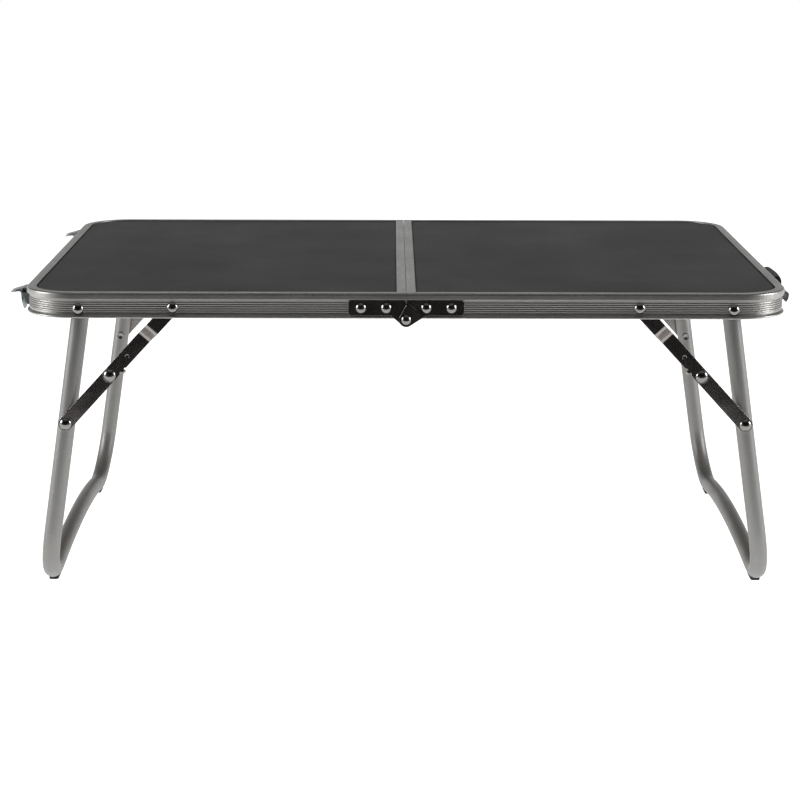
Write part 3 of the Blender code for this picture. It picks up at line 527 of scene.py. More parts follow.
def rail_grid(side):
    """The angle's section carried from front to rear. Below the lip its ends are drawn back."""
    section = np.concatenate([
        arc((0.0004, 0.0004), 0.0004, 180, 270, 5), arc((RAIL_WIDTH - 0.0003, 0.0003), 0.0003, 270, 360, 4),
        [(RAIL_WIDTH, LIP_SHEET), (RAIL_SHEET, LIP_SHEET), (RAIL_SHEET, SHELF_TOP), (0.0087, SHELF_TOP)],
        [(0.0087, SHELF_UNDER), (RAIL_SHEET, SHELF_UNDER), (RAIL_SHEET, RIM_DEPTH - 0.0003)],
        [(RAIL_SHEET - 0.0003, RIM_DEPTH), (0.0003, RIM_DEPTH), (0.0, RIM_DEPTH - 0.0003)],
    ])
    below = section[:, 1] > LIP_SHEET + 0.0001
    reach = np.where(below, HALF_WIDTH - RAIL_LEG_END, HALF_WIDTH - LIP - CLEAR)
    shares = np.linspace(-1, 1, 9)[:, None]
    x = np.tile(side * (SEAM + section[:, 0]), (len(shares), 1))
    return np.stack([x, shares * reach, np.tile(TOP - section[:, 1], (len(shares), 1))], axis=2), section


for side_name, side in SIDES:
    grid, section = rail_grid(side)
    rail = skin(
        f"{side_name}_seam_rail", grid, grid[:, 0, 1], closed_length(section), aluminium,
        at(section[:, 1], 0.0, 0.0004), crease=50.0,
    )
    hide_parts(f"{side_name}_centre_rail")
    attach(rail, f"{side_name}_half")


# --- centre hinges ---------------------------------------------------------------------------
# Two pressed steel leaves on each long edge, plated black nickel, riveted into the rim's recess.
# The right leaf steps forward along a slant, so that its eye lies over the left leaf's eye.

hinge = Vector(next(j for j in frame["joints"] if j["name"] == "centre_fold")["pos_m"])
HINGE_DOWN = TOP - hinge.z
LEAF_END, LEAF_TOP, LEAF_UNDER = 0.0450, 0.0053, 0.0175
LEAF_SHEET = 0.0012
EYE_RADIUS = 0.0057
EYE_STEP = 0.0015
LEAF_RIVETS, LEAF_RIVET_DOWN = (0.0155, 0.0352), 0.0115


def left_turned(loop):
    """Unit normals on the left of a closed loop of points, each shared by its two sides."""
    before, after = loop - np.roll(loop, 1, axis=0), np.roll(loop, -1, axis=0) - loop
    before /= np.linalg.norm(before, axis=1)[:, None]
    after /= np.linalg.norm(after, axis=1)[:, None]
    turned = np.stack([-(before + after)[:, 1], (before + after)[:, 0]], axis=1)
    half = np.linalg.norm(turned, axis=1)[:, None] / 2
    return turned / (2 * half) / np.maximum(half, 0.45)


def along_sides(corners, spacing):
    """A closed outline with its long sides cut into even parts no longer than the spacing."""
    corners = np.asarray(corners, float)
    gaps = np.linalg.norm(np.roll(corners, -1, axis=0) - corners, axis=1)
    parts = np.maximum(np.ceil(gaps / spacing).astype(int), 1)
    start = np.repeat(corners, parts, axis=0)
    step = np.repeat((np.roll(corners, -1, axis=0) - corners) / parts[:, None], parts, axis=0)
    count = np.arange(parts.sum()) - np.repeat(np.cumsum(parts) - parts, parts)
    return start + step * count[:, None]


def pressed_plate(name, loops, sheet, edge_round, place, material, inner=()):
    """A plate cut from sheet metal. The first loop is its outline, anticlockwise, and the rest
    are holes, clockwise. Every edge is rounded: a quarter circle of set-in against depth, front
    and back. The faces are a triangulation of the loops and of the inner points, and place(a, b,
    depth) bends the flat plate into position."""
    inner = np.reshape(inner, (-1, 2))
    edge = np.concatenate([left_turned(loop) for loop in loops])
    flat = np.concatenate(loops)
    turn = np.radians([0.0, 30.0, 60.0, 90.0])
    set_in = edge_round * (1 - np.sin(turn))
    depth = edge_round * (1 - np.cos(turn))
    set_in, depth = np.concatenate([set_in, set_in[::-1]]), np.concatenate([depth, sheet - depth[::-1]])
    levels, count = len(depth), len(flat)
    ring_plan = flat[None] + edge[None] * set_in[:, None, None]
    plan = np.concatenate([ring_plan.reshape(-1, 2), inner, inner])
    depths = np.concatenate([np.repeat(depth, count), np.zeros(len(inner)), np.full(len(inner), sheet)])
    first = np.cumsum([0] + [len(loop) for loop in loops])
    following = np.concatenate([np.roll(np.arange(a, b), -1) for a, b in zip(first[:-1], first[1:])])
    level, point = np.meshgrid(np.arange(levels - 1), np.arange(count), indexing="ij")
    quads = np.stack([
        level * count + point, level * count + following[point],
        (level + 1) * count + following[point], (level + 1) * count + point,
    ], axis=2).reshape(-1, 4)
    sides = np.stack([np.arange(count), following], axis=1).tolist()
    places = [Vector(p) for p in np.concatenate([ring_plan[0], inner])]
    found = delaunay_2d_cdt(places, sides, [], 2, 1e-7)
    came_from = np.array([ids[0] for ids in found[3]])
    front = came_from[np.array([face[:3] for face in found[2]])]
    inner_front, inner_back = levels * count, levels * count + len(inner)
    to_front = np.concatenate([np.arange(count), inner_front + np.arange(len(inner))])
    to_back = np.concatenate([(levels - 1) * count + np.arange(count), inner_back + np.arange(len(inner))])
    faces = quads.tolist() + to_front[front][:, ::-1].tolist() + to_back[front].tolist()
    corners = np.concatenate([quads.ravel(), to_front[front][:, ::-1].ravel(), to_back[front].ravel()])
    worn = np.zeros(len(plan))
    worn[count:(levels - 1) * count] = 1.0
    return add_piece(name, place(plan[:, 0], plan[:, 1], depths), faces, plan[corners], worn, material)


def black_nickel():
    """Dark nickel plate on rolled steel: near mirror, faint rolling lines, steel at worn edges."""
    finish = Finish("black nickel", (0.36, 0.335, 0.325), 0.15, 1.0)
    lines = finish.use(drawn_lines, Lie=finish.lie(), Lines_per_metre=5200.0)
    marks = finish.use(handling, Place=finish.place, Size=0.018)
    worn = finish.use(edge_wear, Place=finish.place, Edge=finish.edge(), Amount=0.8)["Worn"]
    finish.tint(lines["Tone"], (0.30, 0.28, 0.265), 0.6)
    finish.tint(marks["Scuff"], (0.45, 0.43, 0.42), 0.3)
    finish.tint(worn, (0.20, 0.19, 0.18), 0.5)
    finish.roughen(marks["Smudge"], 0.06)
    finish.roughen(lines["Tone"], 0.04)
    finish.emboss(lines["Height"], 0.000006)
    return finish.done()


def on_long_edge(edge):
    """Places (x, down, inward) on the front edge, -1, or the rear edge, 1."""
    return lambda x, down, inward: np.stack(
        [x, edge * (HALF_WIDTH - inward), TOP - down], axis=-1,
    )


def eye_tangent(corner_x):
    """Angle at which a straight side from (corner_x, leaf bottom) touches the eye's circle."""
    away = np.hypot(corner_x, HINGE_DOWN - LEAF_UNDER)
    lean = np.degrees(np.arctan2(HINGE_DOWN - LEAF_UNDER, corner_x))
    return np.degrees(np.arccos(EYE_RADIUS / away)) - lean


def leaf_outline(right):
    """A leaf's outline as (x, down): rounded far corners, a straight underside that runs into a
    tangent of the eye, then round the eye and back up beside the seam."""
    side = 1 if right else -1
    far = [arc((LEAF_END - 0.0025, LEAF_TOP + 0.0025), 0.0025, 270, 360, 5),
           arc((LEAF_END - 0.0025, LEAF_UNDER - 0.0025), 0.0025, 0, 90, 5)]
    corner = 0.0150 if right else 0.0117
    eye = arc((0.0, HINGE_DOWN), EYE_RADIUS, eye_tangent(corner), 215 if right else 218, 26)
    loop = np.concatenate([[(0.0006, LEAF_TOP)], *far, [(corner, LEAF_UNDER)], eye, [(0.0006, 0.0080)]])
    if not right:
        loop = loop * (-1, 1)
    return along_sides(loop[::side], 0.0016)


STEP_TOP, STEP_BOTTOM = np.array((0.0006, 0.0072)), np.array((0.0150, LEAF_UNDER))
step_line = (STEP_BOTTOM - STEP_TOP) / np.linalg.norm(STEP_BOTTOM - STEP_TOP)
STEP_HALF = 0.0013


def past_step(x, down):
    """Distance from the slanted step towards the eye."""
    return (down - STEP_TOP[1]) * step_line[0] - (x - STEP_TOP[0]) * step_line[1]


def smooth(share):
    """Nought to one with level ends: three times the square less twice the cube."""
    share = np.clip(share, 0.0, 1.0)
    return share * share * (3 - 2 * share)


def leaf_place(edge, right):
    """A leaf in the recess. The right one is pressed forward smoothly across the step."""
    lay = on_long_edge(edge)
    if not right:
        return lay
    return lambda x, down, inward: lay(
        x, down, inward - EYE_STEP * smooth((past_step(x, down) + STEP_HALF) / (2 * STEP_HALF)),
    )


def step_points():
    """Points on lines beside the slanted step, so that the bend has somewhere to happen."""
    off, run = np.meshgrid(np.linspace(-1, 1, 7) * STEP_HALF, np.linspace(0.0016, 0.0160, 10), indexing="ij")
    across_step = np.array([-step_line[1], step_line[0]])
    points = STEP_TOP + run.reshape(-1, 1) * step_line + off.reshape(-1, 1) * across_step
    inside = (points[:, 1] < LEAF_UNDER - 0.0008) & (points[:, 0] > 0.0014)
    return points[inside]


nickel = black_nickel()

for edge_name, edge in EDGES:
    for side_name, right in (("left", False), ("right", True)):
        leaf = pressed_plate(
            f"{edge_name}_{side_name}_leaf", [leaf_outline(right)], LEAF_SHEET, 0.00022,
            leaf_place(edge, right), nickel, step_points() if right else (),
        )
        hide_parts(f"{edge_name}_hinge_leaf_{side_name}")
        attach(leaf, f"{side_name}_half")


# --- rivets -----------------------------------------------------------------------------------
# Solid rivets with domed bright nickel heads: eight on the hinge leaves, two hinge pivots, and
# for each corner one leg pivot, one rim rivet, one link rivet and one leg rivet. Turned shapes.

SHANK = 0.0022
RIVET_SIDES = 40


def bright_nickel():
    """Bright nickel: polished, with a slight haze and the small dents of a rivet's setting."""
    finish = Finish("bright nickel", (0.30, 0.292, 0.285), 0.13, 1.0)
    marks = finish.use(handling, Place=finish.place, Size=0.004)
    grain = finish.use(fine_grain, Place=finish.place, Size=0.0009)
    worn = finish.use(edge_wear, Place=finish.place, Edge=finish.edge(), Amount=0.6)["Worn"]
    finish.tint(marks["Smudge"], (0.28, 0.27, 0.26), 0.5)
    finish.tint(worn, (0.24, 0.23, 0.22))
    finish.roughen(marks["Smudge"], 0.10)
    finish.roughen(worn, 0.15)
    finish.emboss(grain["Height"], 0.000018)
    return finish.done()


def dome(face, radius, height):
    """Profile of a domed head on a face: a spherical cap whose radius is half of (r2 + h2) / h,
    from its tip out to a small round at the rim."""
    ball = (radius ** 2 + height ** 2) / (2 * height)
    turn = np.linspace(0.01, np.arcsin(radius / ball) - 0.03, 15)
    cap = np.stack([face - height + ball * (1 - np.cos(turn)), ball * np.sin(turn)], axis=1)
    edge_round = [(face - 0.00018, radius), (face - 0.00006, radius), (face, radius - 0.0001)]
    return np.concatenate([cap, edge_round])


def turned(name, x, z, edge, profile, material):
    """A turned piece: the profile's radii swept round an axis along Y, at its inward places."""
    turn = np.linspace(0, 2 * np.pi, RIVET_SIDES, endpoint=False)
    inward, radius = profile[:, :1], profile[:, 1:]
    ring_x, ring_z = x + radius * np.cos(turn), z + radius * np.sin(turn)
    grid = np.stack([ring_x, np.broadcast_to(edge * (HALF_WIDTH - inward), ring_x.shape), ring_z], axis=2)
    rows = running_length(profile)
    return skin(name, grid, rows, np.linspace(0, 0.02, RIVET_SIDES + 1), material, crease=35.0)


def rivet_profile(head, grip_end, tail=None):
    """Head, shank and an upset tail with a rounded rim, as (inward, radius)."""
    face = head[0]
    rows = [dome(*head), [(face, SHANK), (grip_end, SHANK)]]
    if tail:
        radius, height = tail
        rows.append([(grip_end, radius), (grip_end + height * 0.6, radius)])
        rows.append(arc((grip_end + height * 0.6, radius - height * 0.4), height * 0.4, 75, 10, 4))
        rows.append([(grip_end + height * 0.85, 0.0009), (grip_end + height * 0.7, 0.0002)])
    return np.concatenate(rows)


# Heads and upset tails as (radius, height).
LEAF_HEAD, LEAF_TAIL = (0.0041, 0.0022), (0.0030, 0.0010)
HINGE_HEAD, HINGE_TAIL = (0.0039, 0.0021), (0.0030, 0.0010)

bright = bright_nickel()


def add_rivet(node, body, x, down, edge, profile):
    """A rivet that stands for a node of the frame and rides with a body."""
    made = turned(f"{node}_bright", x, TOP - down, edge, profile, bright)
    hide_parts(node)
    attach(made, body)


for edge_name, edge in EDGES:
    for side_name, side in SIDES:
        for spot, x in zip(("inner", "outer"), LEAF_RIVETS):
            add_rivet(
                f"{edge_name}_leaf_rivet_{side_name}_{spot}", f"{side_name}_half",
                side * x, LEAF_RIVET_DOWN, edge,
                rivet_profile((-CLEAR, *LEAF_HEAD), WEB_BACK + CLEAR, LEAF_TAIL),
            )
    add_rivet(
        f"{edge_name}_hinge_pin", "left_half", 0.0, HINGE_DOWN, edge,
        rivet_profile((-LEAF_SHEET - 2 * CLEAR, *HINGE_HEAD), LEAF_SHEET + CLEAR, HINGE_TAIL),
    )


# --- leg frames ---------------------------------------------------------------------------------
# One round aluminium tube per end, bent to a U with an arched crossbar and painted satin silver.
# It leans outward when it is open, hangs on two shouldered pins and has rubber under its feet.

joint_at = {j["name"]: Vector(j["pos_m"]) for j in frame["joints"]}
LEG_LEAN = np.radians(8.7)
LEG_PLANE = 0.0225
TUBE, TUBE_WALL = 0.0070, 0.0010
TUBE_NOSE = 0.0079
FOOT_BEND, CROSSBAR_RISE = 0.0440, 0.155
PAD_SHEET = 0.0013
LEG_TO_BRACE = 0.0959
TUBE_ROUND = 32
leg_pivot = joint_at["right_leg_fold"]
leg_down = TOP - leg_pivot.z
leg_length = (leg_pivot.z - PAD_SHEET - TUBE) / np.cos(LEG_LEAN)


def leg_axis():
    """Axis of the tube in the leg's plane as (along the leg, y): straight down, round a foot bend
    a little past square, a shallow arch across, then the same again mirrored."""
    half_y = HALF_WIDTH - LEG_PLANE
    straight = np.linspace(0.0, leg_length - FOOT_BEND, 14)[:-1]
    down_leg = np.stack([straight, np.full(13, -half_y)], axis=1)
    turn = np.linspace(0, np.pi / 2 + CROSSBAR_RISE, 20)
    bend = np.stack([
        leg_length - FOOT_BEND + FOOT_BEND * np.sin(turn), FOOT_BEND * (1 - np.cos(turn)) - half_y,
    ], axis=1)
    bow = -bend[-1, 1] / np.sin(CROSSBAR_RISE)
    rest = CROSSBAR_RISE * (1 - np.linspace(0, 1, 13)[1:])
    arch = np.stack([
        bend[-1, 0] - bow * (np.cos(rest) - np.cos(CROSSBAR_RISE)), -bow * np.sin(rest),
    ], axis=1)
    half = np.concatenate([down_leg, bend, arch])
    return np.concatenate([half, half[-2::-1] * (1, -1)])


def leg_place(side, along, y, level=0.0):
    """World place of a point in the leg's plane, moved level metres square to that plane."""
    x = leg_pivot.x + along * np.sin(LEG_LEAN) + level * np.cos(LEG_LEAN)
    z = leg_pivot.z - along * np.cos(LEG_LEAN) + level * np.sin(LEG_LEAN)
    return np.stack(np.broadcast_arrays(side * x, y, z), axis=-1)


def tube_rings(side, radius):
    """Circles square to the axis. The first and last ones bulge to a round nose, where along is
    minus the root of nose squared less sideways squared."""
    axis = leg_axis()
    step = np.diff(axis, axis=0)
    step /= np.linalg.norm(step, axis=1)[:, None]
    tangent = np.concatenate([step[:1], step[:-1] + step[1:], step[-1:]])
    tangent /= np.linalg.norm(tangent, axis=1)[:, None]
    normal = np.stack([-tangent[:, 1], tangent[:, 0]], axis=1)
    turn = np.linspace(0, 2 * np.pi, TUBE_ROUND, endpoint=False)
    out, level = radius * np.sin(turn), radius * np.cos(turn)
    along = axis[:, :1] + normal[:, :1] * out
    y = axis[:, 1:] + normal[:, 1:] * out
    along[[0, -1]] = -np.sqrt(TUBE_NOSE ** 2 - level ** 2)
    return leg_place(side, along, y, np.broadcast_to(level, along.shape))


def silver_paint():
    """Satin silver paint on tube: fine flake, slight orange peel, soft smudges and a few scuffs."""
    finish = Finish("silver paint", (0.33, 0.328, 0.32), 0.42, 0.65)
    flake = finish.use(fine_grain, Place=finish.place, Size=0.00035)
    peel = finish.use(fine_grain, Place=finish.place, Size=0.0022)
    marks = finish.use(handling, Place=finish.place, Size=0.035)
    finish.tint(flake["Tone"], (0.27, 0.27, 0.262), 0.7)
    finish.tint(marks["Smudge"], (0.29, 0.286, 0.275), 0.5)
    finish.tint(marks["Scuff"], (0.46, 0.46, 0.45), 0.4)
    finish.roughen(flake["Tone"], 0.08)
    finish.roughen(marks["Smudge"], 0.06)
    finish.emboss(peel["Height"], 0.00005)
    return finish.done()


def foot_rubber():
    """Black rubber, matt and dusty, with a moulded grain."""
    finish = Finish("foot rubber", (0.016, 0.016, 0.016), 0.72, 0.0, Specular_IOR_Level=0.35)
    grain = finish.use(fine_grain, Place=finish.place, Size=0.0008)
    marks = finish.use(handling, Place=finish.place, Size=0.01)
    finish.tint(marks["Smudge"], (0.060, 0.056, 0.050), 0.5)
    finish.roughen(marks["Smudge"], 0.12)
    finish.emboss(grain["Height"], 0.00012)
    return finish.done()


silver, rubber = silver_paint(), foot_rubber()

for side_name, side in SIDES:
    walls = np.concatenate([tube_rings(side, TUBE), tube_rings(side, TUBE - TUBE_WALL)[::-1]])
    along = running_length(np.concatenate([walls[:, 0], walls[:1, 0]]))
    leg = skin(
        f"{side_name}_leg_tube", walls, along, np.linspace(0, 2 * np.pi * TUBE, TUBE_ROUND + 1),
        silver, ring=True,
    )
    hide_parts(f"{side_name}_leg_frame")
    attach(leg, f"{side_name}_leg")
    for edge_name in ("front", "rear"):
        frame["nodes"][f"{edge_name}_{side_name}_foot_pad"].data.materials.clear()
        frame["nodes"][f"{edge_name}_{side_name}_foot_pad"].data.materials.append(rubber)

# Low nubs under the crossbar, three to a leg, moulded in grey plastic and clipped to the tube.

NUB_PLACES = (-0.072, 0.012, 0.093)
NUB_HALF_LENGTH, NUB_HEIGHT = 0.0060, 0.0011


def nub_grid(side, middle):
    """A saddle on the tube: round the tube from one side to the other under it, its height a
    rounded box in both directions. The last rings drop into the tube."""
    axis = leg_axis()
    bottom = axis[np.abs(axis[:, 1]) < 0.14]
    y = middle + NUB_HALF_LENGTH * np.linspace(-1, 1, 9)
    along = np.interp(y, bottom[:, 1], bottom[:, 0])
    turn = np.radians(np.linspace(-38, 38, 11))
    rise = (1 - np.linspace(-1, 1, 9)[:, None] ** 4) * (1 - np.linspace(-1, 1, 11) ** 4)
    outer = TUBE + NUB_HEIGHT * rise - 0.0004 * (rise < 0.05)
    inner = np.full_like(outer, TUBE - 0.0006)
    radius = np.concatenate([outer, inner[:, ::-1]], axis=1)
    turns = np.concatenate([turn, turn[::-1]])
    out, level = radius * np.cos(turns), radius * np.sin(turns)
    return leg_place(side, along[:, None] + out, y[:, None], level)


def nub_plastic():
    """Grey moulded plastic with a fine texture."""
    finish = Finish("nub plastic", (0.165, 0.165, 0.160), 0.55, 0.0)
    grain = finish.use(fine_grain, Place=finish.place, Size=0.0006)
    finish.tint(grain["Tone"], (0.12, 0.12, 0.118), 0.7)
    finish.roughen(grain["Tone"], 0.1)
    finish.emboss(grain["Height"], 0.00008)
    return finish.done()


grey_plastic = nub_plastic()

for side_name, side in SIDES:
    for number, middle in enumerate(NUB_PLACES, 1):
        grid = nub_grid(side, middle)
        nub = skin(
            f"{side_name}_crossbar_nub_{number}", grid, np.linspace(0, 2 * NUB_HALF_LENGTH, 9),
            closed_length(grid[4]), grey_plastic,
        )
        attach(nub, f"{side_name}_leg")


# --- braces ---------------------------------------------------------------------------------
# At each corner an upper link hangs from the rim and a lower link from the leg, both stamped
# from strip and plated black nickel. The upper one is stepped in to lie against the lower one,
# has a pressed dimple, and a small tab between two notches bent over to stop the brace straight.

LINK_HALF, LINK_SHEET, LINK_ROUND = 0.00575, 0.0012, 0.00025
UPPER_FACE, UPPER_INNER_FACE, LOWER_FACE = 0.0030, 0.0122, 0.0137
STEP_FROM, STEP_TO = 0.0235, 0.0352
DETENT_FROM_JOINT, DETENT_RADIUS, DETENT_DEPTH = 0.0210, 0.0015, 0.0007
TAB_FROM_JOINT, TAB_HALF, TAB_LENGTH, TAB_BEND = 0.0098, 0.00155, 0.0022, 0.00075


# Rivet heads and upset tails as (radius, height). The link rivet's tail is nearly flat, so that
# it clears the tube when the leg is folded.
RIM_HEAD, LINK_HEAD, LEG_HEAD = (0.0045, 0.0026), (0.0050, 0.0027), (0.0049, 0.0027)
BRACE_TAIL, FLAT_TAIL = (0.0034, 0.0012), (0.0032, 0.0003)


def brace_joints(side):
    """The brace's rim pivot, middle joint and leg pivot in the XZ plane. The middle lies on the
    straight brace, half of its open and folded lengths away from the rim."""
    top = np.array([side * joint_at["right_upper_link_swing"].x, joint_at["right_upper_link_swing"].z])
    foot = np.array([side * joint_at["right_lower_link_swing"].x, joint_at["right_lower_link_swing"].z])
    folded = np.array([side * (leg_pivot.x - LEG_TO_BRACE), leg_pivot.z])
    straight = np.linalg.norm(foot - top)
    share = (straight + np.linalg.norm(folded - top)) / 2 / straight
    return top, top + (foot - top) * share, foot


def strap_outline(length, low_side, notched):
    """A strip with two round ends. A notched one has, on its low side near the far joint, two
    small round notches with a tab between them."""
    far = arc((length, 0.0), LINK_HALF, -90, 90, 20)
    near = arc((0.0, 0.0), LINK_HALF, 90, 270, 20)
    edge = []
    if notched:
        middle = length - TAB_FROM_JOINT
        notch = 0.00085
        for sign in (-1, 1):
            centre = (middle + sign * (TAB_HALF + notch), -LINK_HALF + 0.0004)
            edge.append(arc(centre, notch, 190 if sign < 0 else 180, 0 if sign < 0 else -10, 9))
        tab = [(middle - TAB_HALF, -LINK_HALF - TAB_LENGTH), (middle + TAB_HALF, -LINK_HALF - TAB_LENGTH)]
        edge = [edge[0], tab, edge[1]]
    loop = np.concatenate([near, *edge, far])
    loop = along_sides(loop, 0.0016)
    if low_side > 0:
        loop = (loop * (1, -1))[::-1]
    return loop


def strip_points(length, low_side, notched):
    """Points over the strip where it bends: rows across its step, and rows across the tab's root."""
    if not notched:
        return np.zeros((0, 2))
    s, w = np.meshgrid(np.linspace(STEP_FROM - 0.0006, STEP_TO + 0.0006, 15), np.linspace(-1, 1, 7) * 0.0047)
    step = np.stack([s.ravel(), w.ravel()], axis=1)
    s, w = np.meshgrid(
        length - TAB_FROM_JOINT + np.linspace(-1, 1, 5) * (TAB_HALF - 0.00045),
        low_side * (LINK_HALF + np.linspace(-0.0016, TAB_LENGTH - 0.0005, 9)),
    )
    tab = np.stack([s.ravel(), w.ravel()], axis=1)
    rings = [arc((length - DETENT_FROM_JOINT, 0.0), DETENT_RADIUS * share, 0, 345, 24)
             for share in (0.35, 0.62, 0.82, 0.95, 1.06, 1.20)]
    return np.concatenate([step, tab, [(length - DETENT_FROM_JOINT, 0.0)], *rings])


def strip_place(start, end, edge, face, low_side, notched):
    """Bends a flat strip (s, w, depth) into place between two joints. Its face follows face(s), the
    dimple is sunk into that face only, and beyond the tab's root line w turns into depth round a
    small bend."""
    length = np.linalg.norm(end - start)
    along = (end - start) / length
    across_it = np.array([-along[1], along[0]])
    root = LINK_HALF + 0.0004

    def place(s, w, depth):
        w, depth = w.copy(), depth.copy()
        if notched:
            over = low_side * w - root
            on_tab = (np.abs(s - (length - TAB_FROM_JOINT)) <= TAB_HALF + 1e-6) & (over > 0)
            turn = np.clip(over / TAB_BEND, 0, np.pi / 2)
            beyond = np.maximum(over - TAB_BEND * np.pi / 2, 0)
            radius = TAB_BEND + LINK_SHEET * 0.5 - depth
            bent_w = root + radius * np.sin(turn)
            bent_depth = TAB_BEND + LINK_SHEET * 0.5 - radius * np.cos(turn) + beyond
            press = smooth((1.15 - np.hypot(s - length + DETENT_FROM_JOINT, w) / DETENT_RADIUS) / 0.4)
            w = np.where(on_tab, low_side * bent_w, w)
            depth = np.where(on_tab, bent_depth, depth + DETENT_DEPTH * press * (1 - depth / LINK_SHEET))
        plan = start + s[:, None] * along + w[:, None] * across_it
        return np.stack([plan[:, 0], edge * (HALF_WIDTH - face(s) - depth), plan[:, 1]], axis=1)

    return place


def stepped_face(s):
    """Distance in from the rim's face: near it first, then smoothly further in to the joint."""
    share = smooth((s - STEP_FROM) / (STEP_TO - STEP_FROM))
    return UPPER_FACE + share * (UPPER_INNER_FACE - UPPER_FACE)


def level_face(s):
    """A strip with no step."""
    return np.full_like(s, LOWER_FACE)


for side_name, side in SIDES:
    top, middle, foot = brace_joints(side)
    upper_length = np.linalg.norm(middle - top)
    lower_length = np.linalg.norm(foot - middle)
    low_side = 1 if side < 0 else -1
    for edge_name, edge in EDGES:
        corner = f"{edge_name}_{side_name}"
        upper = pressed_plate(
            f"{corner}_upper_strip", [strap_outline(upper_length, low_side, True)],
            LINK_SHEET, LINK_ROUND, strip_place(top, middle, edge, stepped_face, low_side, True), nickel,
            strip_points(upper_length, low_side, True),
        )
        lower = pressed_plate(
            f"{corner}_lower_strip", [strap_outline(lower_length, low_side, False)],
            LINK_SHEET, LINK_ROUND, strip_place(foot, middle, edge, level_face, low_side, False), nickel,
        )
        for made, part in ((upper, "upper"), (lower, "lower")):
            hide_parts(f"{corner}_{part}_link")
            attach(made, f"{side_name}_{part}_links")
        add_rivet(
            f"{corner}_rim_rivet", f"{side_name}_half", top[0], TOP - top[1], edge,
            rivet_profile((WEB_FACE - CLEAR, *RIM_HEAD), UPPER_FACE + LINK_SHEET + CLEAR, BRACE_TAIL),
        )
        add_rivet(
            f"{corner}_link_rivet", f"{side_name}_upper_links", middle[0], TOP - middle[1], edge,
            rivet_profile((UPPER_INNER_FACE - CLEAR, *LINK_HEAD), LOWER_FACE + LINK_SHEET, FLAT_TAIL),
        )
        add_rivet(
            f"{corner}_leg_rivet", f"{side_name}_leg", foot[0], TOP - foot[1], edge,
            rivet_profile((LOWER_FACE - CLEAR, *LEG_HEAD), LEG_PLANE + TUBE + CLEAR, BRACE_TAIL),
        )
        shoulder = [
            (WEB_FACE - CLEAR, SHANK), (WEB_BACK + CLEAR, SHANK), (WEB_BACK + CLEAR, 0.0037),
            (WEB_BACK + 2 * CLEAR, 0.0040), (LEG_PLANE - TUBE - 2 * CLEAR, 0.0040),
            (LEG_PLANE - TUBE - CLEAR, 0.0037), (LEG_PLANE - TUBE - CLEAR, SHANK),
            (LEG_PLANE + TUBE + CLEAR, SHANK), (LEG_PLANE + TUBE + CLEAR, 0.0036),
            (LEG_PLANE + TUBE + 0.0012, 0.0034), (LEG_PLANE + TUBE + 0.0017, 0.0026),
            (LEG_PLANE + TUBE + 0.0017, 0.0002),
        ]
        add_rivet(
            f"{corner}_leg_pin", f"{side_name}_half", side * leg_pivot.x, leg_down, edge,
            np.concatenate([dome(WEB_FACE - CLEAR, *RIM_HEAD), shoulder]),
        )


# --- latches ----------------------------------------------------------------------------------
# Two latches on the left end: a zinc-plated base with two ears, a lever bent from sheet with a
# thumb tab and a claw, and a pin. The lever swings on the pin.

LATCH_Y, LATCH_HALF = 0.147, 0.0090
EAR_SHEET = 0.0012
LEVER_PLAY = 0.0004
AXLE, AXLE_SIDES = 0.0010, 24
latch_pin = {name: joint_at[f"{name}_latch_lift"] for name in ("front", "rear")}


def zinc_plate():
    """Clear zinc plate on steel: blue-grey, faintly spangled, duller where it is handled."""
    finish = Finish("zinc plate", (0.36, 0.39, 0.40), 0.33, 1.0)
    spangle = finish.add(
        "ShaderNodeTexVoronoi", {"Vector": finish.place, "Scale": 420.0}, feature="F1",
    ).outputs["Color"]
    tone = finish.add("ShaderNodeRGBToBW", {"Color": spangle}).outputs[0]
    marks = finish.use(handling, Place=finish.place, Size=0.012)
    worn = finish.use(edge_wear, Place=finish.place, Edge=finish.edge(), Amount=0.7)["Worn"]
    grain = finish.use(fine_grain, Place=finish.place, Size=0.0012)
    finish.tint(tone, (0.27, 0.30, 0.31), 0.6)
    finish.tint(marks["Smudge"], (0.23, 0.24, 0.24), 0.5)
    finish.tint(worn, (0.50, 0.51, 0.51))
    finish.roughen(tone, 0.08)
    finish.roughen(marks["Smudge"], 0.10)
    finish.emboss(grain["Height"], 0.00004)
    return finish.done()


def on_end(side):
    """Places (outward, down, y) on the left end, -1, or the right end, 1."""
    return lambda out, down, y: np.stack([side * (HALF_LENGTH + out), y, TOP - down], axis=-1)


def rounded_corners(corners, radius, steps=4):
    """A closed outline whose corners are rounded by quadratic curves: each runs from a point on
    one side, radius away from the corner, past the corner, to a point on the next side."""
    corners = np.asarray(corners, float)
    before, after = np.roll(corners, 1, axis=0) - corners, np.roll(corners, -1, axis=0) - corners
    reach_before = np.minimum(radius, 0.45 * np.linalg.norm(before, axis=1))
    reach_after = np.minimum(radius, 0.45 * np.linalg.norm(after, axis=1))
    start = corners + before / np.linalg.norm(before, axis=1)[:, None] * reach_before[:, None]
    stop = corners + after / np.linalg.norm(after, axis=1)[:, None] * reach_after[:, None]
    t = np.linspace(0, 1, steps)[:, None, None]
    curve = (1 - t) ** 2 * start + 2 * t * (1 - t) * corners + t ** 2 * stop
    return curve.transpose(1, 0, 2).reshape(-1, 2)


def anticlockwise(loop):
    """The loop, turned round if its shoelace area is negative."""
    ahead_of = np.roll(loop, -1, axis=0)
    area = (loop[:, 0] * ahead_of[:, 1] - ahead_of[:, 0] * loop[:, 1]).sum()
    return loop if area > 0 else loop[::-1]


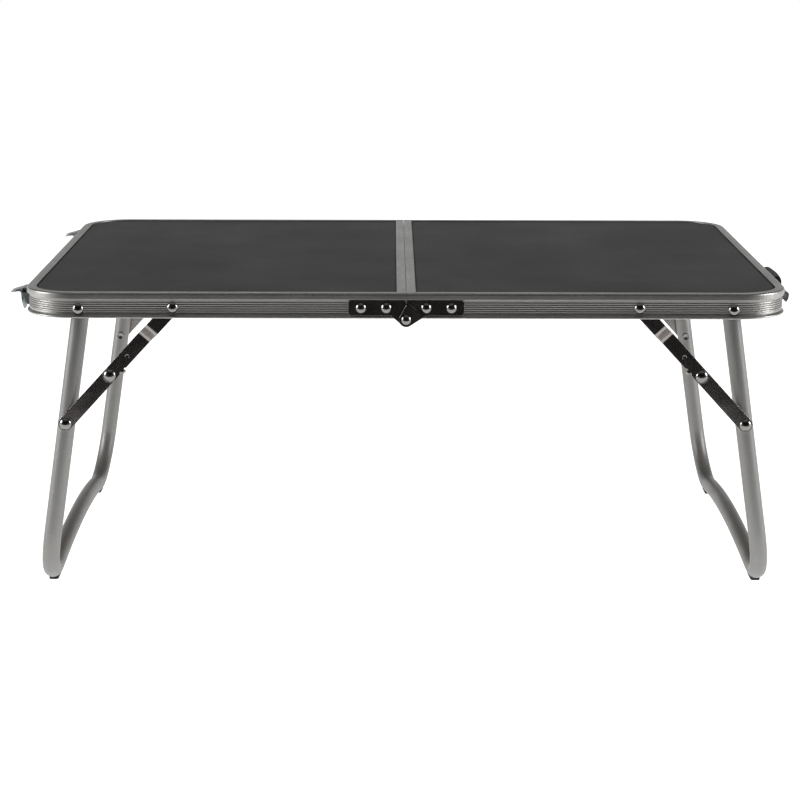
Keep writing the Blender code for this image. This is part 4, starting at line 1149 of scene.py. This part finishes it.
def folded_sheet(name, outline, place, low, high, material, edge_round=0.0003, taper=None):
    """A strip seen edge on: its outline pushed across from low to high, with rounded cut edges.
    taper(out, down, y) may move the points afterwards to narrow the strip."""
    loop = anticlockwise(outline)

    def lay(a, b, depth):
        y = low + depth
        if taper:
            y = taper(a, b, y)
        return place(a, b, y)

    return pressed_plate(name, [loop], high - low, edge_round, lay, material)


LEVER_LINE = np.array([
    (0.0032, 0.0038), (0.0048, 0.0042), (0.0075, 0.0050), (0.0100, 0.0057), (0.0125, 0.0063),
    (0.0143, 0.0069), (0.0151, 0.0077), (0.0146, 0.0084), (0.0125, 0.0079), (0.0105, 0.0074),
    (0.0082, 0.0069), (0.0070, 0.0072), (0.0062, 0.0086), (0.0061, 0.0120), (0.0058, 0.0160),
    (0.0051, 0.0205), (0.0045, 0.0215), (0.0038, 0.0213), (0.0037, 0.0170), (0.0036, 0.0120),
    (0.0034, 0.0088), (0.0020, 0.0082), (0.0012, 0.0070), (0.0011, 0.0055), (0.0017, 0.0043),
])
BASE_EAR = np.array([
    (-0.0012, 0.0056), (0.0005, 0.0056), (0.0005, 0.0050), (0.0018, 0.0040), (0.0048, 0.0040),
    (0.0062, 0.0052), (0.0062, 0.0078), (0.0046, 0.0096), (0.0034, 0.0140), (0.0014, 0.0172),
    (-0.0012, 0.0172),
])
BASE_BACK = np.array([(-0.0012, 0.0056), (-0.0002, 0.0056), (-0.0002, 0.0172), (-0.0012, 0.0172)])


def narrowed(centre):
    """The thumb tab and the claw narrow towards their tips, by a smooth share of the way there."""
    def taper(out, down, y):
        tip = np.maximum(smooth((out - 0.0095) / 0.0080), smooth((down - 0.0140) / 0.0080))
        return centre + (y - centre) * (1 - 0.45 * tip)
    return taper


zinc = zinc_plate()

for edge_name, edge in EDGES:
    centre = edge * LATCH_Y
    low, high = centre - LATCH_HALF, centre + LATCH_HALF
    place = on_end(-1)
    back = folded_sheet(f"{edge_name}_latch_back", rounded_corners(BASE_BACK, 0.0004), place,
                        low + EAR_SHEET * 0.6, high - EAR_SHEET * 0.6, zinc)
    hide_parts(f"{edge_name}_latch_base")
    for ear_name, start in (("low", low), ("high", high - EAR_SHEET)):
        ear = folded_sheet(f"{edge_name}_latch_ear_{ear_name}", rounded_corners(BASE_EAR, 0.0007),
                           place, start, start + EAR_SHEET, zinc)
        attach(ear, "left_half")
    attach(back, "left_half")
    play = EAR_SHEET + LEVER_PLAY
    lever = folded_sheet(
        f"{edge_name}_latch_arm", rounded_corners(LEVER_LINE, 0.0012, 3), place,
        low + play, high - play, zinc, 0.0001, narrowed(centre),
    )
    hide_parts(f"{edge_name}_latch_lever")
    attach(lever, f"{edge_name}_latch")
    turn = np.linspace(0, 2 * np.pi, AXLE_SIDES, endpoint=False)
    rows = np.array([
        (low - CLEAR - 0.0008, 0.0002), (low - CLEAR - 0.0008, 0.0013),
        (low - CLEAR, 0.0017), (low - CLEAR, AXLE),
        (high + CLEAR, AXLE), (high + CLEAR, 0.0019), (high + CLEAR + 0.0006, 0.0017),
        (high + CLEAR + 0.0009, AXLE), (high + CLEAR + 0.0009, 0.0002),
    ])
    grid = np.stack([
        latch_pin[edge_name].x + rows[:, 1:] * np.cos(turn),
        np.broadcast_to(rows[:, :1], (len(rows), AXLE_SIDES)),
        latch_pin[edge_name].z + rows[:, 1:] * np.sin(turn),
    ], axis=2)
    round_it = np.linspace(0, 0.006, AXLE_SIDES + 1)
    pin = skin(f"{edge_name}_latch_axle", grid, running_length(rows), round_it, bright, crease=35.0)
    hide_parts(f"{edge_name}_latch_pin")
    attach(pin, "left_half")


# --- catches -------------------------------------------------------------------------------------
# A zinc-plated steel strip on the right end for each latch, bent outward, then down and back
# to a small hooked lip.

CATCH_LINE = np.array([
    (-0.0012, 0.0056), (-0.0002, 0.0056), (0.0024, 0.0058), (0.0048, 0.0066), (0.0054, 0.0080),
    (0.0048, 0.0118), (0.0032, 0.0144), (0.0022, 0.0136), (0.0036, 0.0112), (0.0038, 0.0086),
    (0.0014, 0.0074), (-0.0002, 0.0074), (-0.0002, 0.0172), (-0.0012, 0.0172),
])

for edge_name, edge in EDGES:
    catch = folded_sheet(
        f"{edge_name}_catch_hook", rounded_corners(CATCH_LINE, 0.0008), on_end(1),
        edge * LATCH_Y - 0.008, edge * LATCH_Y + 0.008, zinc, 0.0001,
    )
    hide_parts(f"{edge_name}_catch")
    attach(catch, "right_half")


# --- handle --------------------------------------------------------------------------------------
# A carrying handle on the right end: a bowed strip of plated steel whose feet lie in the rim's
# recess, and a black moulded grip over its middle, ribbed on its outer side.

HANDLE_Y, HANDLE_HALF, HANDLE_FOOT, HANDLE_RISE = -0.0625, 0.065, 0.010, 0.0085
STRAP_SHEET, STRAP_TOP, STRAP_BOTTOM = 0.0020, 0.0075, 0.0155
GRIP_FROM, GRIP_TO, GRIP_DEPTH, GRIP_HEIGHT = -0.026, 0.026, 0.0087, 0.0128
STRAP_BACK = 0.0015 - CLEAR


def bow(t):
    """Outward distance of the strap's middle: its rise times one less the square of the share
    of the half span."""
    share = np.maximum(1 - (t / HANDLE_HALF) ** 2, 0.0)
    return STRAP_SHEET / 2 - STRAP_BACK + HANDLE_RISE * share


def bow_normal(t):
    """Unit outward normal of the bow, from a small central difference."""
    rise = (bow(t + 1e-5) - bow(t - 1e-5)) / 2e-5
    return np.stack([np.ones_like(t), -rise], axis=1) / np.hypot(1, rise)[:, None]


def strap_grid():
    """A flat section with rounded corners carried along the bow."""
    reach = HANDLE_HALF + HANDLE_FOOT
    t = np.concatenate([[-reach], np.linspace(-HANDLE_HALF, HANDLE_HALF, 61), [reach]])
    half, corner = STRAP_SHEET / 2, 0.0006
    down_middle, half_high = (STRAP_TOP + STRAP_BOTTOM) / 2, (STRAP_BOTTOM - STRAP_TOP) / 2
    quarter = arc((0, 0), corner, 0, 90, 4)
    section = np.concatenate([
        quarter + (half - corner, half_high - corner),
        (quarter * (-1, 1))[::-1] + (corner - half, half_high - corner),
        quarter * (-1, -1) + (corner - half, corner - half_high),
        (quarter * (1, -1))[::-1] + (half - corner, corner - half_high),
    ])
    plan = np.stack([bow(t), HANDLE_Y + t], axis=1)[:, None] + bow_normal(t)[:, None] * section[None, :, :1]
    down = np.broadcast_to(down_middle + section[:, 1], plan.shape[:2])
    return on_end(1)(plan[:, :, 0], down, plan[:, :, 1]), t, closed_length(section)


def grip_grid():
    """A squared oval carried along the bow. Its size swells from each end, and shallow ribs, a
    cosine along the grip, show on the outer side only."""
    t = np.linspace(GRIP_FROM, GRIP_TO, 113)
    turn = np.linspace(0, 2 * np.pi, 40, endpoint=False)
    share = np.linspace(0, 1, len(t))
    size = 0.80 + 0.20 * np.minimum(1.0, np.minimum(share, 1 - share) / 0.035) ** 0.5
    c, s = np.cos(turn), np.sin(turn)
    out = np.sign(c) * np.abs(c) ** 0.75 * GRIP_DEPTH / 2
    up = np.sign(s) * np.abs(s) ** 0.75 * GRIP_HEIGHT / 2
    middle = smooth((0.5 - np.abs(share - 0.5)) / 0.10)
    ribs = 0.00035 * middle[:, None] * (np.cos(2 * np.pi * t[:, None] / 0.0042) - 1) * np.maximum(c, 0) ** 0.5
    out = out * size[:, None] + ribs
    up = up * size[:, None]
    normal = bow_normal(t)
    plan = np.stack([bow(t), HANDLE_Y + t], axis=1)[:, None] + normal[:, None] * out[:, :, None]
    down = (STRAP_TOP + STRAP_BOTTOM) / 2 - up
    return on_end(1)(plan[:, :, 0], down, plan[:, :, 1]), t


def grip_plastic():
    """Black moulded plastic with a fine spark-eroded grain, polished a little by the hand."""
    finish = Finish("grip plastic", (0.008, 0.008, 0.008), 0.50, 0.0, Specular_IOR_Level=0.3)
    grain = finish.use(fine_grain, Place=finish.place, Size=0.0005)
    marks = finish.use(handling, Place=finish.place, Size=0.02)
    finish.tint(marks["Smudge"], (0.013, 0.0125, 0.012), 0.6)
    finish.roughen(grain["Tone"], 0.10)
    finish.roughen(marks["Smudge"], -0.10)
    finish.emboss(grain["Height"], 0.00007)
    return finish.done()


def satin_steel():
    """Satin plated steel strip with rolling lines along it."""
    finish = Finish("satin steel", (0.45, 0.45, 0.44), 0.36, 1.0)
    lines = finish.use(drawn_lines, Lie=finish.lie(), Lines_per_metre=3400.0)
    marks = finish.use(handling, Place=finish.place, Size=0.02)
    finish.tint(lines["Tone"], (0.38, 0.38, 0.37), 0.6)
    finish.tint(marks["Scuff"], (0.60, 0.60, 0.59), 0.4)
    finish.roughen(marks["Smudge"], 0.08)
    finish.emboss(lines["Height"], 0.00003)
    return finish.done()


grid, t, round_strap = strap_grid()
strap = skin("handle_steel_strap", grid, t, round_strap, satin_steel(), crease=50.0)
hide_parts("handle_strap")
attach(strap, "right_half")

grid, t = grip_grid()
grip = skin("handle_moulded_grip", grid, t, np.linspace(0, 0.04, 41), grip_plastic(), crease=60.0)
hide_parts("handle_grip")
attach(grip, "right_half")


# --- studio ---------------------------------------------------------------------------------------
# A white table under the object, a darker room in front of it, soft boxes at both sides, and brighter world
# light above and behind. None of it belongs to the table.

FLOOR_FRONT, FLOOR_BACK, FLOOR_SIDE = -0.62, 3.4, 2.6


def floor_material():
    """White acrylic, partly lit from below."""
    made = bpy.data.materials.new("white floor")
    made.use_nodes = True
    shader = made.node_tree.nodes["Principled BSDF"]
    shader.inputs["Base Color"].default_value = (0.86, 0.86, 0.86, 1.0)
    shader.inputs["Roughness"].default_value = 0.9
    shader.inputs["Specular IOR Level"].default_value = 0.0
    shader.inputs["Emission Color"].default_value = (1.0, 1.0, 1.0, 1.0)
    seen = add_node(made.node_tree, "ShaderNodeLightPath", {}).outputs["Is Camera Ray"]
    glow = add_node(made.node_tree, "ShaderNodeMix", {"Factor": seen, 2: 0.75, 3: 1.05}, data_type="FLOAT")
    made.node_tree.links.new(glow.outputs[0], shader.inputs["Emission Strength"])
    return made


corners = [
    (-FLOOR_SIDE, FLOOR_FRONT, -0.0001), (FLOOR_SIDE, FLOOR_FRONT, -0.0001),
    (FLOOR_SIDE, FLOOR_BACK, -0.0001), (-FLOOR_SIDE, FLOOR_BACK, -0.0001),
]
floor_mesh = bpy.data.meshes.new("floor")
floor_mesh.from_pydata(corners, [], [(0, 1, 2, 3)])
floor_mesh.materials.append(floor_material())
floor = bpy.data.objects.new("floor", floor_mesh)
bpy.context.scene.collection.objects.link(floor)


def room(front, side, back, above):
    """World light: white to the camera. For everything else, four brightnesses weighted by the
    squares of the direction's parts. The level ones also fade with the cube of one less height,
    and the one above counts only near the zenith."""
    world = bpy.data.worlds.new("room")
    world.use_nodes = True
    tree = world.node_tree
    background = tree.nodes["Background"]
    direction = add_node(tree, "ShaderNodeTexCoord", {}).outputs["Generated"]
    x, y, z = add_node(tree, "ShaderNodeSeparateXYZ", {"Vector": direction}).outputs
    towards_back = add_node(tree, "ShaderNodeMath", {0: y, 1: 0.0}, operation="GREATER_THAN").outputs[0]
    behind_or_not = add_node(
        tree, "ShaderNodeMath", {0: towards_back, 1: back - front, 2: front}, operation="MULTIPLY_ADD",
    ).outputs[0]
    low = add_node(tree, "ShaderNodeMath", {0: 1.0, 1: z}, operation="SUBTRACT", use_clamp=True).outputs[0]
    fade = add_node(tree, "ShaderNodeMath", {0: low, 1: 3.0}, operation="POWER").outputs[0]
    near_top = add_node(tree, "ShaderNodeMath", {0: z, 1: 4.0}, operation="POWER").outputs[0]
    total = 0.0
    for part, level, share in ((x, side, fade), (y, behind_or_not, fade), (z, above, near_top)):
        square = add_node(tree, "ShaderNodeMath", {0: part, 1: part}, operation="MULTIPLY").outputs[0]
        shown = add_node(tree, "ShaderNodeMath", {0: square, 1: share}, operation="MULTIPLY").outputs[0]
        total = add_node(
            tree, "ShaderNodeMath", {0: shown, 1: level, 2: total}, operation="MULTIPLY_ADD",
        ).outputs[0]
    seen = add_node(tree, "ShaderNodeLightPath", {}).outputs["Is Camera Ray"]
    strength = add_node(
        tree, "ShaderNodeMix", {"Factor": seen, 2: total, 3: 1.0}, data_type="FLOAT",
    ).outputs[0]
    tree.links.new(strength, background.inputs["Strength"])
    background.inputs["Color"].default_value = (1.0, 1.0, 1.0, 1.0)
    return world


bpy.context.scene.world = room(front=0.02, side=0.12, back=1.45, above=0.30)
bpy.context.scene.view_settings.view_transform = "Standard"


def soft_box(name, place, aim, width, height, power):
    """A rectangular soft box at a place, turned to face its aim."""
    light = bpy.data.lights.new(name, "AREA")
    light.shape, light.size, light.size_y, light.energy = "RECTANGLE", width, height, power
    made = bpy.data.objects.new(name, light)
    made.location = place
    made.rotation_euler = (Vector(aim) - Vector(place)).to_track_quat("-Z", "Y").to_euler()
    bpy.context.scene.collection.objects.link(made)


soft_box("left box", (-2.2, -0.5, 0.9), (-0.1, 0.0, 0.15), 0.7, 1.2, 26.0)
soft_box("right box", (2.2, -0.5, 0.9), (0.1, 0.0, 0.15), 0.7, 1.2, 26.0)
